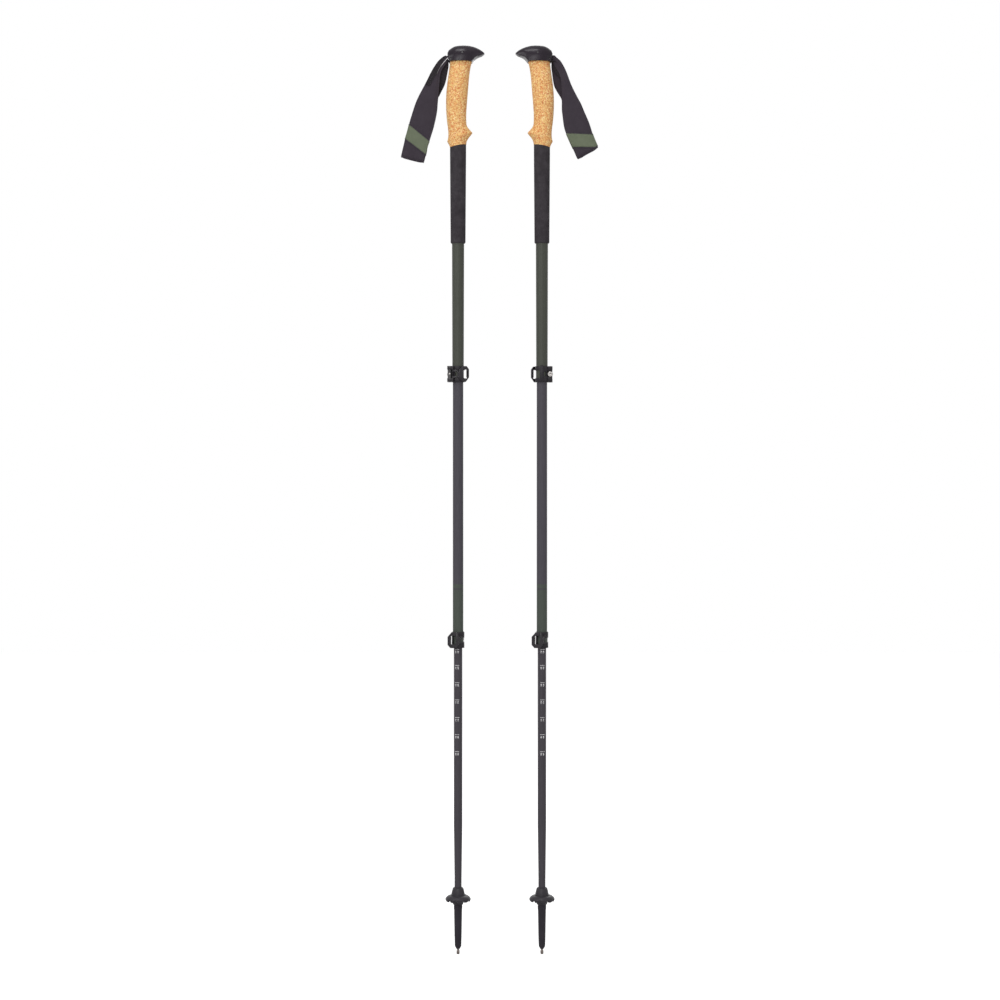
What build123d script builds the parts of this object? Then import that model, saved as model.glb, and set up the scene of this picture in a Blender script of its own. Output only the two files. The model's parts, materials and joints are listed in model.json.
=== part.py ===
"""Pair of three-section trekking poles with outside lever locks, fully extended.

Each pole stands on its tip, +Z up. The two poles stand side by side along X, and the origin is
midway between their tips. A pole is drawn about its own axis, with the grip's beak towards +X,
and each finished piece is then written once for each pole. The right pole's upper section is
turned half a turn, so that its strap hangs on the outer side too.
"""

import os
from math import acos, atan2, cos, degrees, hypot, radians, sin

from build123d import *

os.makedirs("parts", exist_ok=True)

# ---- Driving dimensions, in millimetres and degrees ----------------------------------------

pole_spacing = 120.0
running_gap = 0.05  # radial, of a bush in its tube or a knuckle on its pin
glue_gap = 0.05  # radial, between pieces that are glued or pressed together

# Tubes. Each stands in the one above it, which is clamped on it by the lock at its own foot.
tube_overlap = 80.5
sliding_gap = 0.1  # radial, between a tube and the bore that it slides in
lower_tube_end_z = 75.0
lower_tube_length = 445.0
lower_tube_r = 6.0
lower_tube_wall = 1.1
lower_foot_taper = 0.95
lower_foot_wall = 1.05
lower_taper_foot_z = 106.0
lower_taper_top_z = 184.0
middle_tube_length = 460.5
middle_tube_wall = 1.35
upper_tube_length = 448.5
upper_seat_wall = 0.65
upper_seat_length = 28.5
upper_grip_wall = 1.15
slit_width = 1.4
slit_relief_r = 1.6

# Guide bushes
bush_head_length = 12.0
bush_spigot_length = 18.0
bush_wall = 1.6
bush_slots = 3
bush_slot_width = 2.0

# Lever locks
lock_above_end = 10.05  # from a tube's foot up to the middle of its lock
lock_height = 22.5
collar_wall = 1.55
collar_window = (-117.0, 71.0)
collar_window_height = 11.8
collar_port = (106.0, 130.0)
collar_port_height = 5.8
split_gap = 1.6
front_ear = 2.8
back_ear = 4.0
ear_beyond_screw = 3.1
hinge_beyond_collar = 2.0
cam_r = 3.6
cam_throw = 0.6
cam_gap = 0.3
barrel_r = 2.3
barrel_end_gap = 0.4
screw_r = 1.5
screw_head_r = 3.9
screw_head_height = 2.0
screw_socket_flats = 3.0
screw_socket_depth = 1.3
screw_tip_beyond = 0.9
arm_gap = 0.3  # between the lever's arms and the tube that they lie on, in the collar's window
arm_height = 11.2
knuckle_length = 4.8
lever_gap = 0.4
lever_wall = 1.9
lever_ramp = 11.0
fork_gap = 12.4
fork_window_height = 6.4
handle_slot_height = 12.6
handle_small_corner = (4.0, 4.4)
handle_large_corner = (5.7, 6.6)
handle_lip = 1.3
lower_lock_turn = 285.0
# Each lever: angles about the tube's axis, then lengths along its handle.
upper_lever_form = {"window": (214.0, 264.0), "flare": (277.0, 301.0), "wrap_end": 308.0}
upper_lever_form |= {"reach": 10.5, "slot_start": 1.1, "bar": 2.4}
lower_lever_form = {"window": (214.0, 352.0), "flare": (368.0, 385.0), "wrap_end": 387.0}
lower_lever_form |= {"reach": 12.8, "slot_start": 0.8, "bar": 4.6}

# Grip
cork_beyond_tube = 8.2
grip_joint_back = (-11.1, 122.3)  # x, and how far below the cork's top
grip_joint_front = (11.6, 118.3)
cork_lip_r = 1.2
foam_length = 137.5
foam_top_wall = 2.75
foam_foot_wall = 1.9
foam_edge_r = 3.0

# Head, its plug and its pins. Heights are above the cork's top.
plug_spigot_length = 18.0
plug_flange = 4.0
tang_length = 10.0
tang_width = 8.0
tang_centre_x = 6.2
tang_height = 14.8
head_pin_r = 1.3
head_pin_x = 6.2
head_pin_height = 11.3
head_pin_length = 26.4
strap_pin_r = 1.2
strap_pin_x = -10.6
strap_pin_height = 3.4
strap_pin_length = 18.6
strap_slot_width = 16.6
strap_slot_height = 7.2
strap_slot_end_x = -4.9
wedge_length = 3.2
wedge_width = 15.0

# Wrist strap
strap_angle = 21.1  # the strap's lean from straight down
web_wall = 1.1
web_width = 15.0
web_pin_gap = 0.3
web_strip_end = 4.0
fan_inner = (8.5, 1.6)  # where the webbing's spread end meets the loop: down the strap, across it
fan_outer = (4.7, 15.0)
pad_wall = 2.6
pad_gap = 7.0
pad_neck = 5.2
pad_open_start = 28.0
pad_open_full = 60.0
pad_open_mouth = 0.2
fold_reach = 120.0
band_wall = 0.6

# Tip and basket
socket_wall = 1.1
socket_top_z = 94.0
thread_foot_z = 64.2
thread_root_r = 5.85
thread_rings = 3
thread_pitch = 2.4
tip_shoulder_r = 5.75
tip_waist_z = 27.0
tip_waist_r = 5.15
tip_nose_z = 15.6
tip_nose_r = 3.4
bead_z = 12.8
bead_r = 3.7
tip_end_z = 7.4
tip_end_r = 2.1
point_r = 1.5
point_depth = 14.0
crown_r = 2.15
crown_rim_r = 1.35
crown_rim_wall = 0.4
crown_rim_z = 1.3
crown_top_z = 4.8
basket_collar_wall = 1.4
basket_collar_top_z = 95.0
basket_cone_r = 11.3
basket_cone_foot_z = 84.3
basket_r = 18.15
basket_rim_z = 80.0
basket_rim_foot_z = 74.6
basket_wall = 1.8
basket_hub_foot_z = 71.4
basket_hub_wall = 1.15
basket_lobes = 10
basket_lobe_cut_r = 4.2
basket_lobe_depth = 1.1

# ---- Worked out from the driving dimensions ------------------------------------------------

lower_tube_top_z = lower_tube_end_z + lower_tube_length
lower_bore_r = lower_tube_r - lower_tube_wall
lower_foot_r = lower_tube_r - lower_foot_taper
lower_foot_bore_r = lower_foot_r - lower_foot_wall
middle_tube_end_z = lower_tube_top_z - tube_overlap
middle_tube_top_z = middle_tube_end_z + middle_tube_length
middle_bore_r = lower_tube_r + sliding_gap
middle_tube_r = middle_bore_r + middle_tube_wall
upper_tube_end_z = middle_tube_top_z - tube_overlap
upper_tube_top_z = upper_tube_end_z + upper_tube_length
upper_bore_r = middle_tube_r + sliding_gap
upper_seat_r = upper_bore_r + upper_seat_wall
upper_tube_r = upper_bore_r + upper_grip_wall
lower_lock_z = middle_tube_end_z + lock_above_end
upper_lock_z = upper_tube_end_z + lock_above_end
lower_slit_top_z = lower_lock_z + lock_height / 2
upper_slit_top_z = upper_lock_z + lock_height / 2
cork_top_z = upper_tube_top_z + cork_beyond_tube
foam_foot_z = cork_top_z - grip_joint_back[1] - foam_length

UPPER = "upper"
LOWER = "lower"
PLACES = {
    ("left", UPPER): Location((-pole_spacing / 2, 0, 0)),
    ("right", UPPER): Location((pole_spacing / 2, 0, 0), (0, 0, 180)),
    ("left", LOWER): Location((-pole_spacing / 2, 0, 0)),
    ("right", LOWER): Location((pole_spacing / 2, 0, 0)),
}


def keep(piece, name, section, place=Location(), sides=("left", "right")):
    """Write a finished piece for each pole, turned with the section that carries it."""
    for side in sides:
        placed = PLACES[side, section] * place * piece
        placed.label = f"{side}_{name}"
        export_step(placed, f"parts/{placed.label}.step")


def polar(radius, angle):
    """A point on a circle about the tube's axis."""
    return radius * cos(radians(angle)), radius * sin(radians(angle))


def pie(plane, radius, start, end):
    """Sketch the sector between two angles, from the axis out to a radius."""
    with BuildSketch(plane) as sector:
        with BuildLine():
            Line((0, 0), polar(radius, start))
            CenterArc((0, 0), radius, start, end - start)
            Line(polar(radius, end), (0, 0))
        make_face()
    return sector.sketch


def ring_sector(plane, inner_r, outer_r, start, end):
    """Sketch the part of a ring between two angles."""
    with BuildSketch(plane) as sector:
        with BuildLine():
            Line(polar(inner_r, start), polar(outer_r, start))
            CenterArc((0, 0), outer_r, start, end - start)
            Line(polar(outer_r, end), polar(inner_r, end))
            CenterArc((0, 0), inner_r, start, end - start)
        make_face()
    return sector.sketch


# ---- Tubes and their guide bushes ----------------------------------------------------------


def tube(outline, bore):
    """Revolve a tube from its outer and inner outlines, each a list of (radius, z)."""
    with BuildPart() as made:
        with BuildSketch(Plane.XZ):
            with BuildLine():
                Polyline(*outline, *reversed(bore), close=True)
            make_face()
        revolve(axis=Axis.Z)
    return made.part


def slit(body, end_z, top_z, wall_r, angle):
    """Cut the clamping slit and its relief hole into one wall of a tube's lower end."""
    wall = Plane(origin=(0, 0, top_z), x_dir=(0, 0, 1), z_dir=(*polar(1, angle), 0))
    with BuildPart() as made:
        add(body)
        with BuildSketch(wall):
            with Locations(((end_z - top_z) / 2, 0)):
                Rectangle(top_z - end_z, slit_width)
            Circle(slit_relief_r)
        extrude(amount=wall_r + 1, mode=Mode.SUBTRACT)
    return made.part


upper_shaft = slit(
    tube(
        [
            (upper_seat_r, upper_tube_end_z),
            (upper_seat_r, upper_tube_end_z + upper_seat_length),
            (upper_tube_r, foam_foot_z),
            (upper_tube_r, upper_tube_top_z),
        ],
        [(upper_bore_r, upper_tube_end_z), (upper_bore_r, upper_tube_top_z)],
    ),
    upper_tube_end_z,
    upper_slit_top_z,
    upper_tube_r,
    90,
)
keep(upper_shaft, "upper_shaft", UPPER)

middle_shaft = slit(
    tube(
        [(middle_tube_r, middle_tube_end_z), (middle_tube_r, middle_tube_top_z)],
        [(middle_bore_r, middle_tube_end_z), (middle_bore_r, middle_tube_top_z)],
    ),
    middle_tube_end_z,
    lower_slit_top_z,
    middle_tube_r,
    lower_lock_turn - 90,
)
keep(middle_shaft, "middle_shaft", LOWER)

lower_shaft = tube(
    [
        (lower_foot_r, lower_tube_end_z),
        (lower_foot_r, lower_taper_foot_z),
        (lower_tube_r, lower_taper_top_z),
        (lower_tube_r, lower_tube_top_z),
    ],
    [
        (lower_foot_bore_r, lower_tube_end_z),
        (lower_foot_bore_r, lower_taper_foot_z),
        (lower_bore_r, lower_taper_top_z),
        (lower_bore_r, lower_tube_top_z),
    ],
)
keep(lower_shaft, "lower_shaft", LOWER)


def guide_bush(outer_bore_r, inner_bore_r, seat_z):
    """Make the bush on a tube's top end: a head that runs in the tube outside it and a spigot."""
    head_r = outer_bore_r - running_gap
    spigot_r = inner_bore_r - running_gap
    hole_r = spigot_r - bush_wall
    with BuildPart() as made:
        with BuildSketch(Plane.XY.offset(seat_z)):
            Circle(head_r)
        extrude(amount=bush_head_length)
        chamfer(made.edges().group_by(Axis.Z)[-1], bush_wall / 2)
        with BuildSketch(Plane.XY.offset(seat_z)):
            Circle(spigot_r)
        extrude(amount=-bush_spigot_length)
        with BuildSketch(Plane.XY.offset(seat_z - bush_spigot_length)):
            Circle(hole_r)
        extrude(amount=bush_spigot_length + bush_head_length, mode=Mode.SUBTRACT)
        with BuildSketch(Plane.XY.offset(seat_z + bush_head_length)):
            with PolarLocations(head_r, bush_slots):
                Rectangle(2 * (head_r - hole_r) + 2, bush_slot_width)
        extrude(amount=-bush_head_length * 0.6, mode=Mode.SUBTRACT)
    return made.part


keep(guide_bush(upper_bore_r, middle_bore_r, middle_tube_top_z), "middle_bush", LOWER)
keep(guide_bush(middle_bore_r, lower_bore_r, lower_tube_top_z), "lower_bush", LOWER)


# ---- Lever lock ----------------------------------------------------------------------------
# Drawn about its tube's axis at its own mid-height, with the hinge towards -X and the lever
# wrapping round the front, -Y. The lever's cams press on the front ear, and the screw pulls the
# back ear towards the barrel that the cams turn on.

hinge_y = -(split_gap / 2 + front_ear + cam_gap + cam_r + cam_throw)


def hinge_x(seat_r):
    """The hinge's distance out from the tube's axis, towards -X."""
    return -(seat_r + glue_gap + collar_wall + hinge_beyond_collar)


def make_collar(seat_r):
    """Make the split collar: a ring with a wide window, a small port and two ears."""
    bore_r = seat_r + glue_gap
    ring_r = bore_r + collar_wall
    screw_x = hinge_x(seat_r)
    ear_end = screw_x - ear_beyond_screw
    ear_root = -bore_r * 0.8
    ear_mid = (ear_end + ear_root) / 2
    ear_length = ear_root - ear_end
    notch_y = split_gap / 2 + back_ear - screw_head_height
    with BuildPart() as made:
        with BuildSketch(Plane.XY.offset(-lock_height / 2)):
            Circle(ring_r)
            with Locations((ear_mid, -(split_gap + front_ear) / 2)):
                Rectangle(ear_length, front_ear)
            with Locations((ear_mid, (split_gap + back_ear) / 2)):
                Rectangle(ear_length, back_ear)
            Circle(bore_r, mode=Mode.SUBTRACT)
            with Locations((-ring_r, 0)):
                Rectangle(2 * ring_r, split_gap, mode=Mode.SUBTRACT)
        extrude(amount=lock_height)
        fillet(made.edges().filter_by(Axis.Z).group_by(Axis.X)[0], 1.0)
        window_foot = Plane.XY.offset(-collar_window_height / 2)
        window = pie(window_foot, ring_r + 1, *collar_window)
        extrude(window, amount=collar_window_height, mode=Mode.SUBTRACT)
        port_foot = Plane.XY.offset(-collar_port_height / 2)
        port = pie(port_foot, ring_r + 1, *collar_port)
        extrude(port, amount=collar_port_height, mode=Mode.SUBTRACT)
        with BuildSketch(Plane.XZ.offset(-notch_y)):
            with Locations((screw_x - ear_beyond_screw / 2, 0)):
                Rectangle(2 * screw_head_r + ear_beyond_screw + 1, 2 * screw_head_r + 0.8)
        extrude(amount=-back_ear, mode=Mode.SUBTRACT)
        with BuildSketch(Plane.XZ.offset(-split_gap / 2 - back_ear)):
            with Locations((screw_x, 0)):
                Circle(screw_r + 0.25)
        extrude(amount=split_gap + front_ear + back_ear, mode=Mode.SUBTRACT)
    return made.part


def arm_strip(plane, cam, cam_side, ring_side, length):
    """Sketch the lever's straight strip, tangent to its cam, for some way along towards the tube.

    cam_side and ring_side are the strip's outer and inner points, each a pair.
    """
    outer_start, inner_start = cam_side
    outer_end, inner_end = ring_side
    whole = hypot(outer_end[0] - outer_start[0], outer_end[1] - outer_start[1])
    share = length / whole if length else 1

    def along(start, end):
        return tuple(s + (e - s) * share for s, e in zip(start, end))

    with BuildSketch(plane) as strip:
        with BuildLine():
            Polyline(
                outer_start,
                along(outer_start, outer_end),
                along(inner_start, inner_end),
                inner_start,
                close=True,
            )
        make_face()
        with Locations(cam):
            Circle(cam_r)
    return strip.sketch


def make_lever(seat_r, form):
    """Make the cam lever: two knuckles, arms that lie flush in the collar's window, a ring handle."""
    ring_r = seat_r + glue_gap + collar_wall
    arm_r = seat_r + arm_gap
    inner_r = ring_r + lever_gap
    outer_r = inner_r + lever_wall
    wrap_end = form["wrap_end"]
    flare_start, flare_end = form["flare"]
    turn_x = hinge_x(seat_r)
    cam_y = hinge_y + cam_throw
    half = lock_height / 2
    arm_half = arm_height / 2
    # The arms run straight from the cam until they meet the collar's round
    meet = degrees(atan2(cam_y, turn_x) + acos((ring_r - cam_r) / hypot(turn_x, cam_y))) % 360
    out_x, out_y = polar(1, meet)
    arm_wall = ring_r - arm_r
    cam_side = [(turn_x + r * out_x, cam_y + r * out_y) for r in (cam_r, cam_r - arm_wall)]
    ring_side = [polar(ring_r, meet), polar(arm_r, meet)]
    handle = Plane(
        origin=(*polar(inner_r, wrap_end), 0),
        x_dir=(*polar(1, wrap_end + 90), 0),
        z_dir=(*polar(1, wrap_end), 0),
    )
    reach = form["reach"]
    slot_start = form["slot_start"]
    slot_end = reach - form["bar"]
    flare_angle = (flare_start + flare_end) / 2
    flare_half = outer_r * sin(radians((flare_end - flare_start) / 2))
    flare = Plane(
        origin=(0, 0, 0),
        x_dir=(*polar(1, flare_angle + 90), 0),
        z_dir=(*polar(1, flare_angle), 0),
    )
    foot = Plane.XY.offset(-half)
    arm_foot = Plane.XY.offset(-arm_half)
    with BuildPart() as made:
        extrude(arm_strip(foot, (turn_x, cam_y), cam_side, ring_side, knuckle_length), amount=lock_height)
        extrude(arm_strip(arm_foot, (turn_x, cam_y), cam_side, ring_side, 0), amount=arm_height)
        extrude(ring_sector(arm_foot, arm_r, ring_r, meet, wrap_end), amount=arm_height)
        extrude(ring_sector(arm_foot, arm_r, outer_r, flare_start, wrap_end), amount=arm_height)
        with BuildSketch(arm_foot):
            with BuildLine():
                Polyline(
                    polar(arm_r, flare_start - lever_ramp),
                    polar(ring_r, flare_start - lever_ramp),
                    polar(outer_r, flare_start),
                    polar(arm_r, flare_start),
                    close=True,
                )
            make_face()
            Circle(arm_r, mode=Mode.SUBTRACT)
        extrude(amount=arm_height)
        # Raised plate that flares from the arms to the handle's full height
        extrude(ring_sector(foot, inner_r, outer_r, flare_start, wrap_end), amount=lock_height)
        with BuildSketch(flare):
            for up in (1, -1):
                with BuildLine():
                    Polyline(
                        (-flare_half - 0.1, up * (half + 1)),
                        (-flare_half - 0.1, up * arm_half),
                        (-flare_half, up * arm_half),
                        (flare_half, up * half),
                        (flare_half, up * (half + 1)),
                        close=True,
                    )
                make_face()
        extrude(amount=outer_r + 1, mode=Mode.SUBTRACT)
        # Gap between the knuckles, then the window between the arms
        with BuildSketch(Plane.XZ):
            with Locations((turn_x, 0)):
                Rectangle(2 * cam_r + 0.4, fork_gap)
        extrude(amount=2 * outer_r, mode=Mode.SUBTRACT)
        window_foot = Plane.XY.offset(-fork_window_height / 2)
        window_cut = pie(window_foot, outer_r + 1, *form["window"])
        extrude(window_cut, amount=fork_window_height, mode=Mode.SUBTRACT)
        # Ring handle
        small_along, small_up = handle_small_corner
        large_along, large_up = handle_large_corner
        with BuildSketch(handle):
            with BuildLine():
                Polyline(
                    (0, -half),
                    (reach - large_along, -half),
                    (reach, -half + large_up),
                    (reach, half - small_up),
                    (reach - small_along, half),
                    (0, half),
                    close=True,
                )
            make_face()
            with Locations(((slot_start + slot_end) / 2, 0)):
                RectangleRounded(slot_end - slot_start, handle_slot_height, 1.8, mode=Mode.SUBTRACT)
        extrude(amount=lever_wall)
        with BuildSketch(handle):
            with Locations(((reach + slot_end) / 2, (large_up - small_up) / 2)):
                Rectangle(reach - slot_end, lock_height - large_up - small_up)
        extrude(amount=-handle_lip)
        with BuildSketch(foot):
            with Locations((turn_x, hinge_y)):
                Circle(barrel_r + running_gap)
        extrude(amount=lock_height, mode=Mode.SUBTRACT)
    return made.part


def make_barrel(seat_r):
    """Make the barrel nut that the lever turns on, cross-drilled for the screw."""
    height = lock_height - 2 * barrel_end_gap
    with BuildPart() as made:
        with BuildSketch(Plane.XY.offset(-height / 2)):
            with Locations((hinge_x(seat_r), hinge_y)):
                Circle(barrel_r)
        extrude(amount=height)
        with BuildSketch(Plane.XZ.offset(-hinge_y + barrel_r)):
            with Locations((hinge_x(seat_r), 0)):
                Circle(screw_r + glue_gap)
        extrude(amount=-2 * barrel_r, mode=Mode.SUBTRACT)
    return made.part


def make_screw(seat_r):
    """Make the tension screw, with its head seated in the back ear's notch."""
    seat_y = split_gap / 2 + back_ear - screw_head_height
    shank = seat_y - hinge_y + barrel_r + screw_tip_beyond
    head_plane = Plane.XZ.offset(-seat_y)
    with BuildPart() as made:
        with BuildSketch(head_plane):
            with Locations((hinge_x(seat_r), 0)):
                Circle(screw_head_r)
        extrude(amount=-screw_head_height)
        chamfer(made.edges().group_by(Axis.Y)[-1], 0.4)
        with BuildSketch(head_plane):
            with Locations((hinge_x(seat_r), 0)):
                Circle(screw_r)
        extrude(amount=shank)
        chamfer(made.edges().group_by(Axis.Y)[0], 0.4)
        with BuildSketch(head_plane.offset(-screw_head_height)):
            with Locations((hinge_x(seat_r), 0)):
                RegularPolygon(screw_socket_flats / 2, 6, major_radius=False)
        extrude(amount=screw_socket_depth, mode=Mode.SUBTRACT)
    return made.part


upper_lock = Location((0, 0, upper_lock_z))
keep(make_collar(upper_seat_r), "upper_collar", UPPER, upper_lock)
keep(make_lever(upper_seat_r, upper_lever_form), "upper_lever", UPPER, upper_lock)
keep(make_barrel(upper_seat_r), "upper_barrel", UPPER, upper_lock)
keep(make_screw(upper_seat_r), "upper_screw", UPPER, upper_lock)

# The lower lock is mounted the other way up, so its lever wraps the other way round.
lower_lock = Location((0, 0, lower_lock_z)) * Location((0, 0, 0), (0, 0, lower_lock_turn))
lower_lock = lower_lock * Location((0, 0, 0), (180, 0, 0))
keep(make_collar(middle_tube_r), "lower_collar", LOWER, lower_lock)
keep(make_lever(middle_tube_r, lower_lever_form), "lower_lever", LOWER, lower_lock)
keep(make_barrel(middle_tube_r), "lower_barrel", LOWER, lower_lock)
keep(make_screw(middle_tube_r), "lower_screw", LOWER, lower_lock)


# ---- Foam sleeve and cork grip -------------------------------------------------------------

joint_back_x, joint_back_drop = grip_joint_back
joint_front_x, joint_front_drop = grip_joint_front
joint_back_z = cork_top_z - joint_back_drop
joint_front_z = cork_top_z - joint_front_drop
joint_plane = Plane(
    origin=((joint_back_x + joint_front_x) / 2, 0, (joint_back_z + joint_front_z) / 2),
    x_dir=(joint_front_x - joint_back_x, 0, joint_front_z - joint_back_z),
    z_dir=(joint_back_z - joint_front_z, 0, joint_front_x - joint_back_x),
)
grip_bore_r = upper_tube_r + glue_gap

with BuildPart() as foam_sleeve:
    foam_top_r = grip_bore_r + foam_top_wall
    foam_foot_r = grip_bore_r + foam_foot_wall
    with BuildSketch(Plane.XZ):
        with BuildLine():
            Line((grip_bore_r, foam_foot_z), (foam_foot_r - 1.6, foam_foot_z))
            ThreePointArc(
                (foam_foot_r - 1.6, foam_foot_z),
                (foam_foot_r - 0.45, foam_foot_z + 0.9),
                (foam_foot_r, foam_foot_z + foam_edge_r),
            )
            Polyline(
                (foam_foot_r, foam_foot_z + foam_edge_r),
                (foam_top_r, joint_back_z - 10),
                (foam_top_r, joint_front_z + 10),
                (grip_bore_r, joint_front_z + 10),
                (grip_bore_r, foam_foot_z),
            )
        make_face()
    revolve(axis=Axis.Z)
    split(bisect_by=joint_plane, keep=Keep.BOTTOM)
keep(foam_sleeve.part, "foam_sleeve", UPPER)

# Each section of the cork: its back and front, each as x and height from the cork's top, and half
# its width across.
cork_body = [
    ((-11.7, 0.2), (20.1, 0.8), 10.4),
    ((-13.1, -14.2), (16.8, -13.7), 12.2),
    ((-15.7, -32.8), (15.0, -31.2), 13.6),
    ((-17.2, -55.7), (13.2, -53.2), 13.9),
    ((-16.5, -77.0), (11.8, -72.6), 12.9),
    ((-14.7, -92.9), (11.9, -86.5), 12.2),
]
cork_flare = [
    cork_body[-1],
    ((-14.1, -99.0), (13.0, -92.0), 12.3),
    ((-13.9, -104.5), (15.7, -96.0), 12.8),
    ((-14.4, -109.5), (18.7, -99.2), 13.4),
    ((-15.5, -113.8), (20.7, -101.6), 13.8),
]
cork_foot = [
    cork_flare[-1],
    ((-14.0, -116.4), (16.6, -106.6), 12.9),
    ((-12.4, -119.6), (13.1, -112.0), 12.1),
    ((-11.3, -124.5), (11.8, -118.5), 11.6),
    ((-11.1, -130.0), (11.6, -125.0), 11.5),
]


def tilted_oval(back, front, half_width):
    """Sketch an oval on the plane through a back point and a front point of the grip."""
    reach = (front[0] - back[0], front[1] - back[1])
    middle = ((back[0] + front[0]) / 2, 0, cork_top_z + (back[1] + front[1]) / 2)
    plane = Plane(origin=middle, x_dir=(reach[0], 0, reach[1]), z_dir=(-reach[1], 0, reach[0]))
    with BuildSketch(plane) as oval:
        Ellipse(hypot(*reach) / 2, half_width)
    return oval.sketch


with BuildPart() as cork_grip:
    for stretch in (cork_body, cork_flare, cork_foot):
        loft([tilted_oval(*section) for section in stretch])
    split(bisect_by=joint_plane, keep=Keep.TOP)
    split(bisect_by=Plane.XY.offset(cork_top_z), keep=Keep.BOTTOM)
    fillet(cork_grip.edges().sort_by(SortBy.LENGTH)[-1], cork_lip_r)
    with BuildSketch(Plane.XY.offset(cork_top_z)):
        Circle(grip_bore_r)
    extrude(amount=-(cork_top_z - foam_foot_z), mode=Mode.SUBTRACT)
keep(cork_grip.part, "cork_grip", UPPER)


# ---- Head, plug, wedge and pins ------------------------------------------------------------

# Each section across the head: x, heights of its underside and crown from the cork's top, and half
# its width.
head_sections = [
    (-15.0, 7.8, 13.4, 6.8),
    (-13.9, 5.3, 15.8, 9.0),
    (-11.7, -1.2, 18.1, 10.6),
    (-7.0, -2.2, 21.2, 12.1),
    (0.0, -2.2, 23.2, 13.3),
    (8.6, -2.2, 23.7, 13.6),
    (15.0, -2.2, 23.3, 12.9),
    (20.4, 0.6, 22.2, 11.8),
    (24.6, 5.1, 20.9, 10.5),
    (30.2, 8.0, 18.4, 8.4),
    (35.4, 9.9, 15.0, 5.9),
    (37.7, 11.2, 12.8, 3.9),
]
head_side = 0.35  # share of a section's height that is its upright side


def head_section(x, foot_height, crown_height, half_width):
    """Sketch one section across the head: a flat foot, upright sides and a domed crown."""
    foot_z = cork_top_z + foot_height
    crown_z = cork_top_z + crown_height
    side_z = foot_z + (crown_z - foot_z) * head_side
    with BuildSketch(Plane(origin=(x, 0, 0), x_dir=(0, 1, 0), z_dir=(1, 0, 0))) as section:
        with BuildLine():
            Line((half_width, side_z), (half_width, foot_z))
            Line((half_width, foot_z), (-half_width, foot_z))
            Line((-half_width, foot_z), (-half_width, side_z))
            EllipticalCenterArc((0, side_z), half_width, crown_z - side_z, start_angle=0, arc_size=180)
        make_face()
    return section.sketch


tang_gap = 2 * glue_gap
tang_top_z = cork_top_z + tang_height
head_pin_z = cork_top_z + head_pin_height
strap_pin_z = cork_top_z + strap_pin_height
strap_slot_roof_z = cork_top_z + strap_slot_height

with BuildPart() as grip_head:
    loft([head_section(*section) for section in head_sections])
    split(bisect_by=Plane.XY.offset(cork_top_z), keep=Keep.TOP)
    with BuildSketch(Plane.XY.offset(cork_top_z)):
        with Locations((tang_centre_x, 0)):
            Rectangle(tang_length + tang_gap, tang_width + tang_gap)
    extrude(amount=tang_top_z + tang_gap - cork_top_z, mode=Mode.SUBTRACT)
    with BuildSketch(Plane.XY.offset(cork_top_z)):
        with Locations((strap_slot_end_x - 10, 0)):
            Rectangle(20, strap_slot_width)
    extrude(amount=strap_slot_roof_z - cork_top_z, mode=Mode.SUBTRACT)
    with BuildSketch(Plane.XZ.offset(-20)):
        with Locations((head_pin_x, head_pin_z)):
            Circle(head_pin_r + glue_gap)
        with Locations((strap_pin_x, strap_pin_z)):
            Circle(strap_pin_r + glue_gap)
    extrude(amount=40, mode=Mode.SUBTRACT)
keep(grip_head.part, "grip_head", UPPER)

with BuildPart() as head_plug:
    with BuildSketch(Plane.XY.offset(upper_tube_top_z)):
        Circle(upper_tube_r)
    extrude(amount=plug_flange)
    with BuildSketch(Plane.XY.offset(upper_tube_top_z)):
        Circle(upper_bore_r - glue_gap)
    extrude(amount=-plug_spigot_length)
    chamfer(head_plug.edges().group_by(Axis.Z)[0], 1.0)
    with BuildSketch(Plane.XY.offset(upper_tube_top_z + plug_flange)):
        with Locations((tang_centre_x, 0)):
            Rectangle(tang_length, tang_width)
        Circle(upper_tube_r, mode=Mode.INTERSECT)
    extrude(amount=tang_top_z - upper_tube_top_z - plug_flange)
    with BuildSketch(Plane.XZ.offset(-tang_width)):
        with Locations((head_pin_x, head_pin_z)):
            Circle(head_pin_r + glue_gap)
    extrude(amount=2 * tang_width, mode=Mode.SUBTRACT)
keep(head_plug.part, "head_plug", UPPER)


def cross_pin(x, z, radius, length):
    """Make a plain pin across the head."""
    with BuildPart() as made:
        with BuildSketch(Plane.XZ.offset(-length / 2)):
            with Locations((x, z)):
                Circle(radius)
        extrude(amount=length)
    return made.part


keep(cross_pin(head_pin_x, head_pin_z, head_pin_r, head_pin_length), "head_pin", UPPER)
keep(cross_pin(strap_pin_x, strap_pin_z, strap_pin_r, strap_pin_length), "strap_pin", UPPER)

with BuildPart() as strap_wedge:
    wedge_foot_z = cork_top_z + glue_gap
    wedge_top_z = strap_slot_roof_z - glue_gap
    wedge_end_x = strap_slot_end_x - glue_gap
    with BuildSketch(Plane.XZ.offset(-wedge_width / 2)):
        with BuildLine():
            Polyline(
                (wedge_end_x, wedge_foot_z),
                (wedge_end_x, wedge_top_z),
                (wedge_end_x - wedge_length, wedge_top_z),
                (wedge_end_x - wedge_length * 0.5, wedge_foot_z),
                close=True,
            )
        make_face()
    extrude(amount=wedge_width)
keep(strap_wedge.part, "strap_wedge", UPPER)


# ---- Wrist strap ---------------------------------------------------------------------------
# The strap's own plane lies in XZ: its x runs down the strap from the pin, and its y runs
# across it, away from the grip. Its normal is +Y, and the loop's two layers lie either side.

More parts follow.
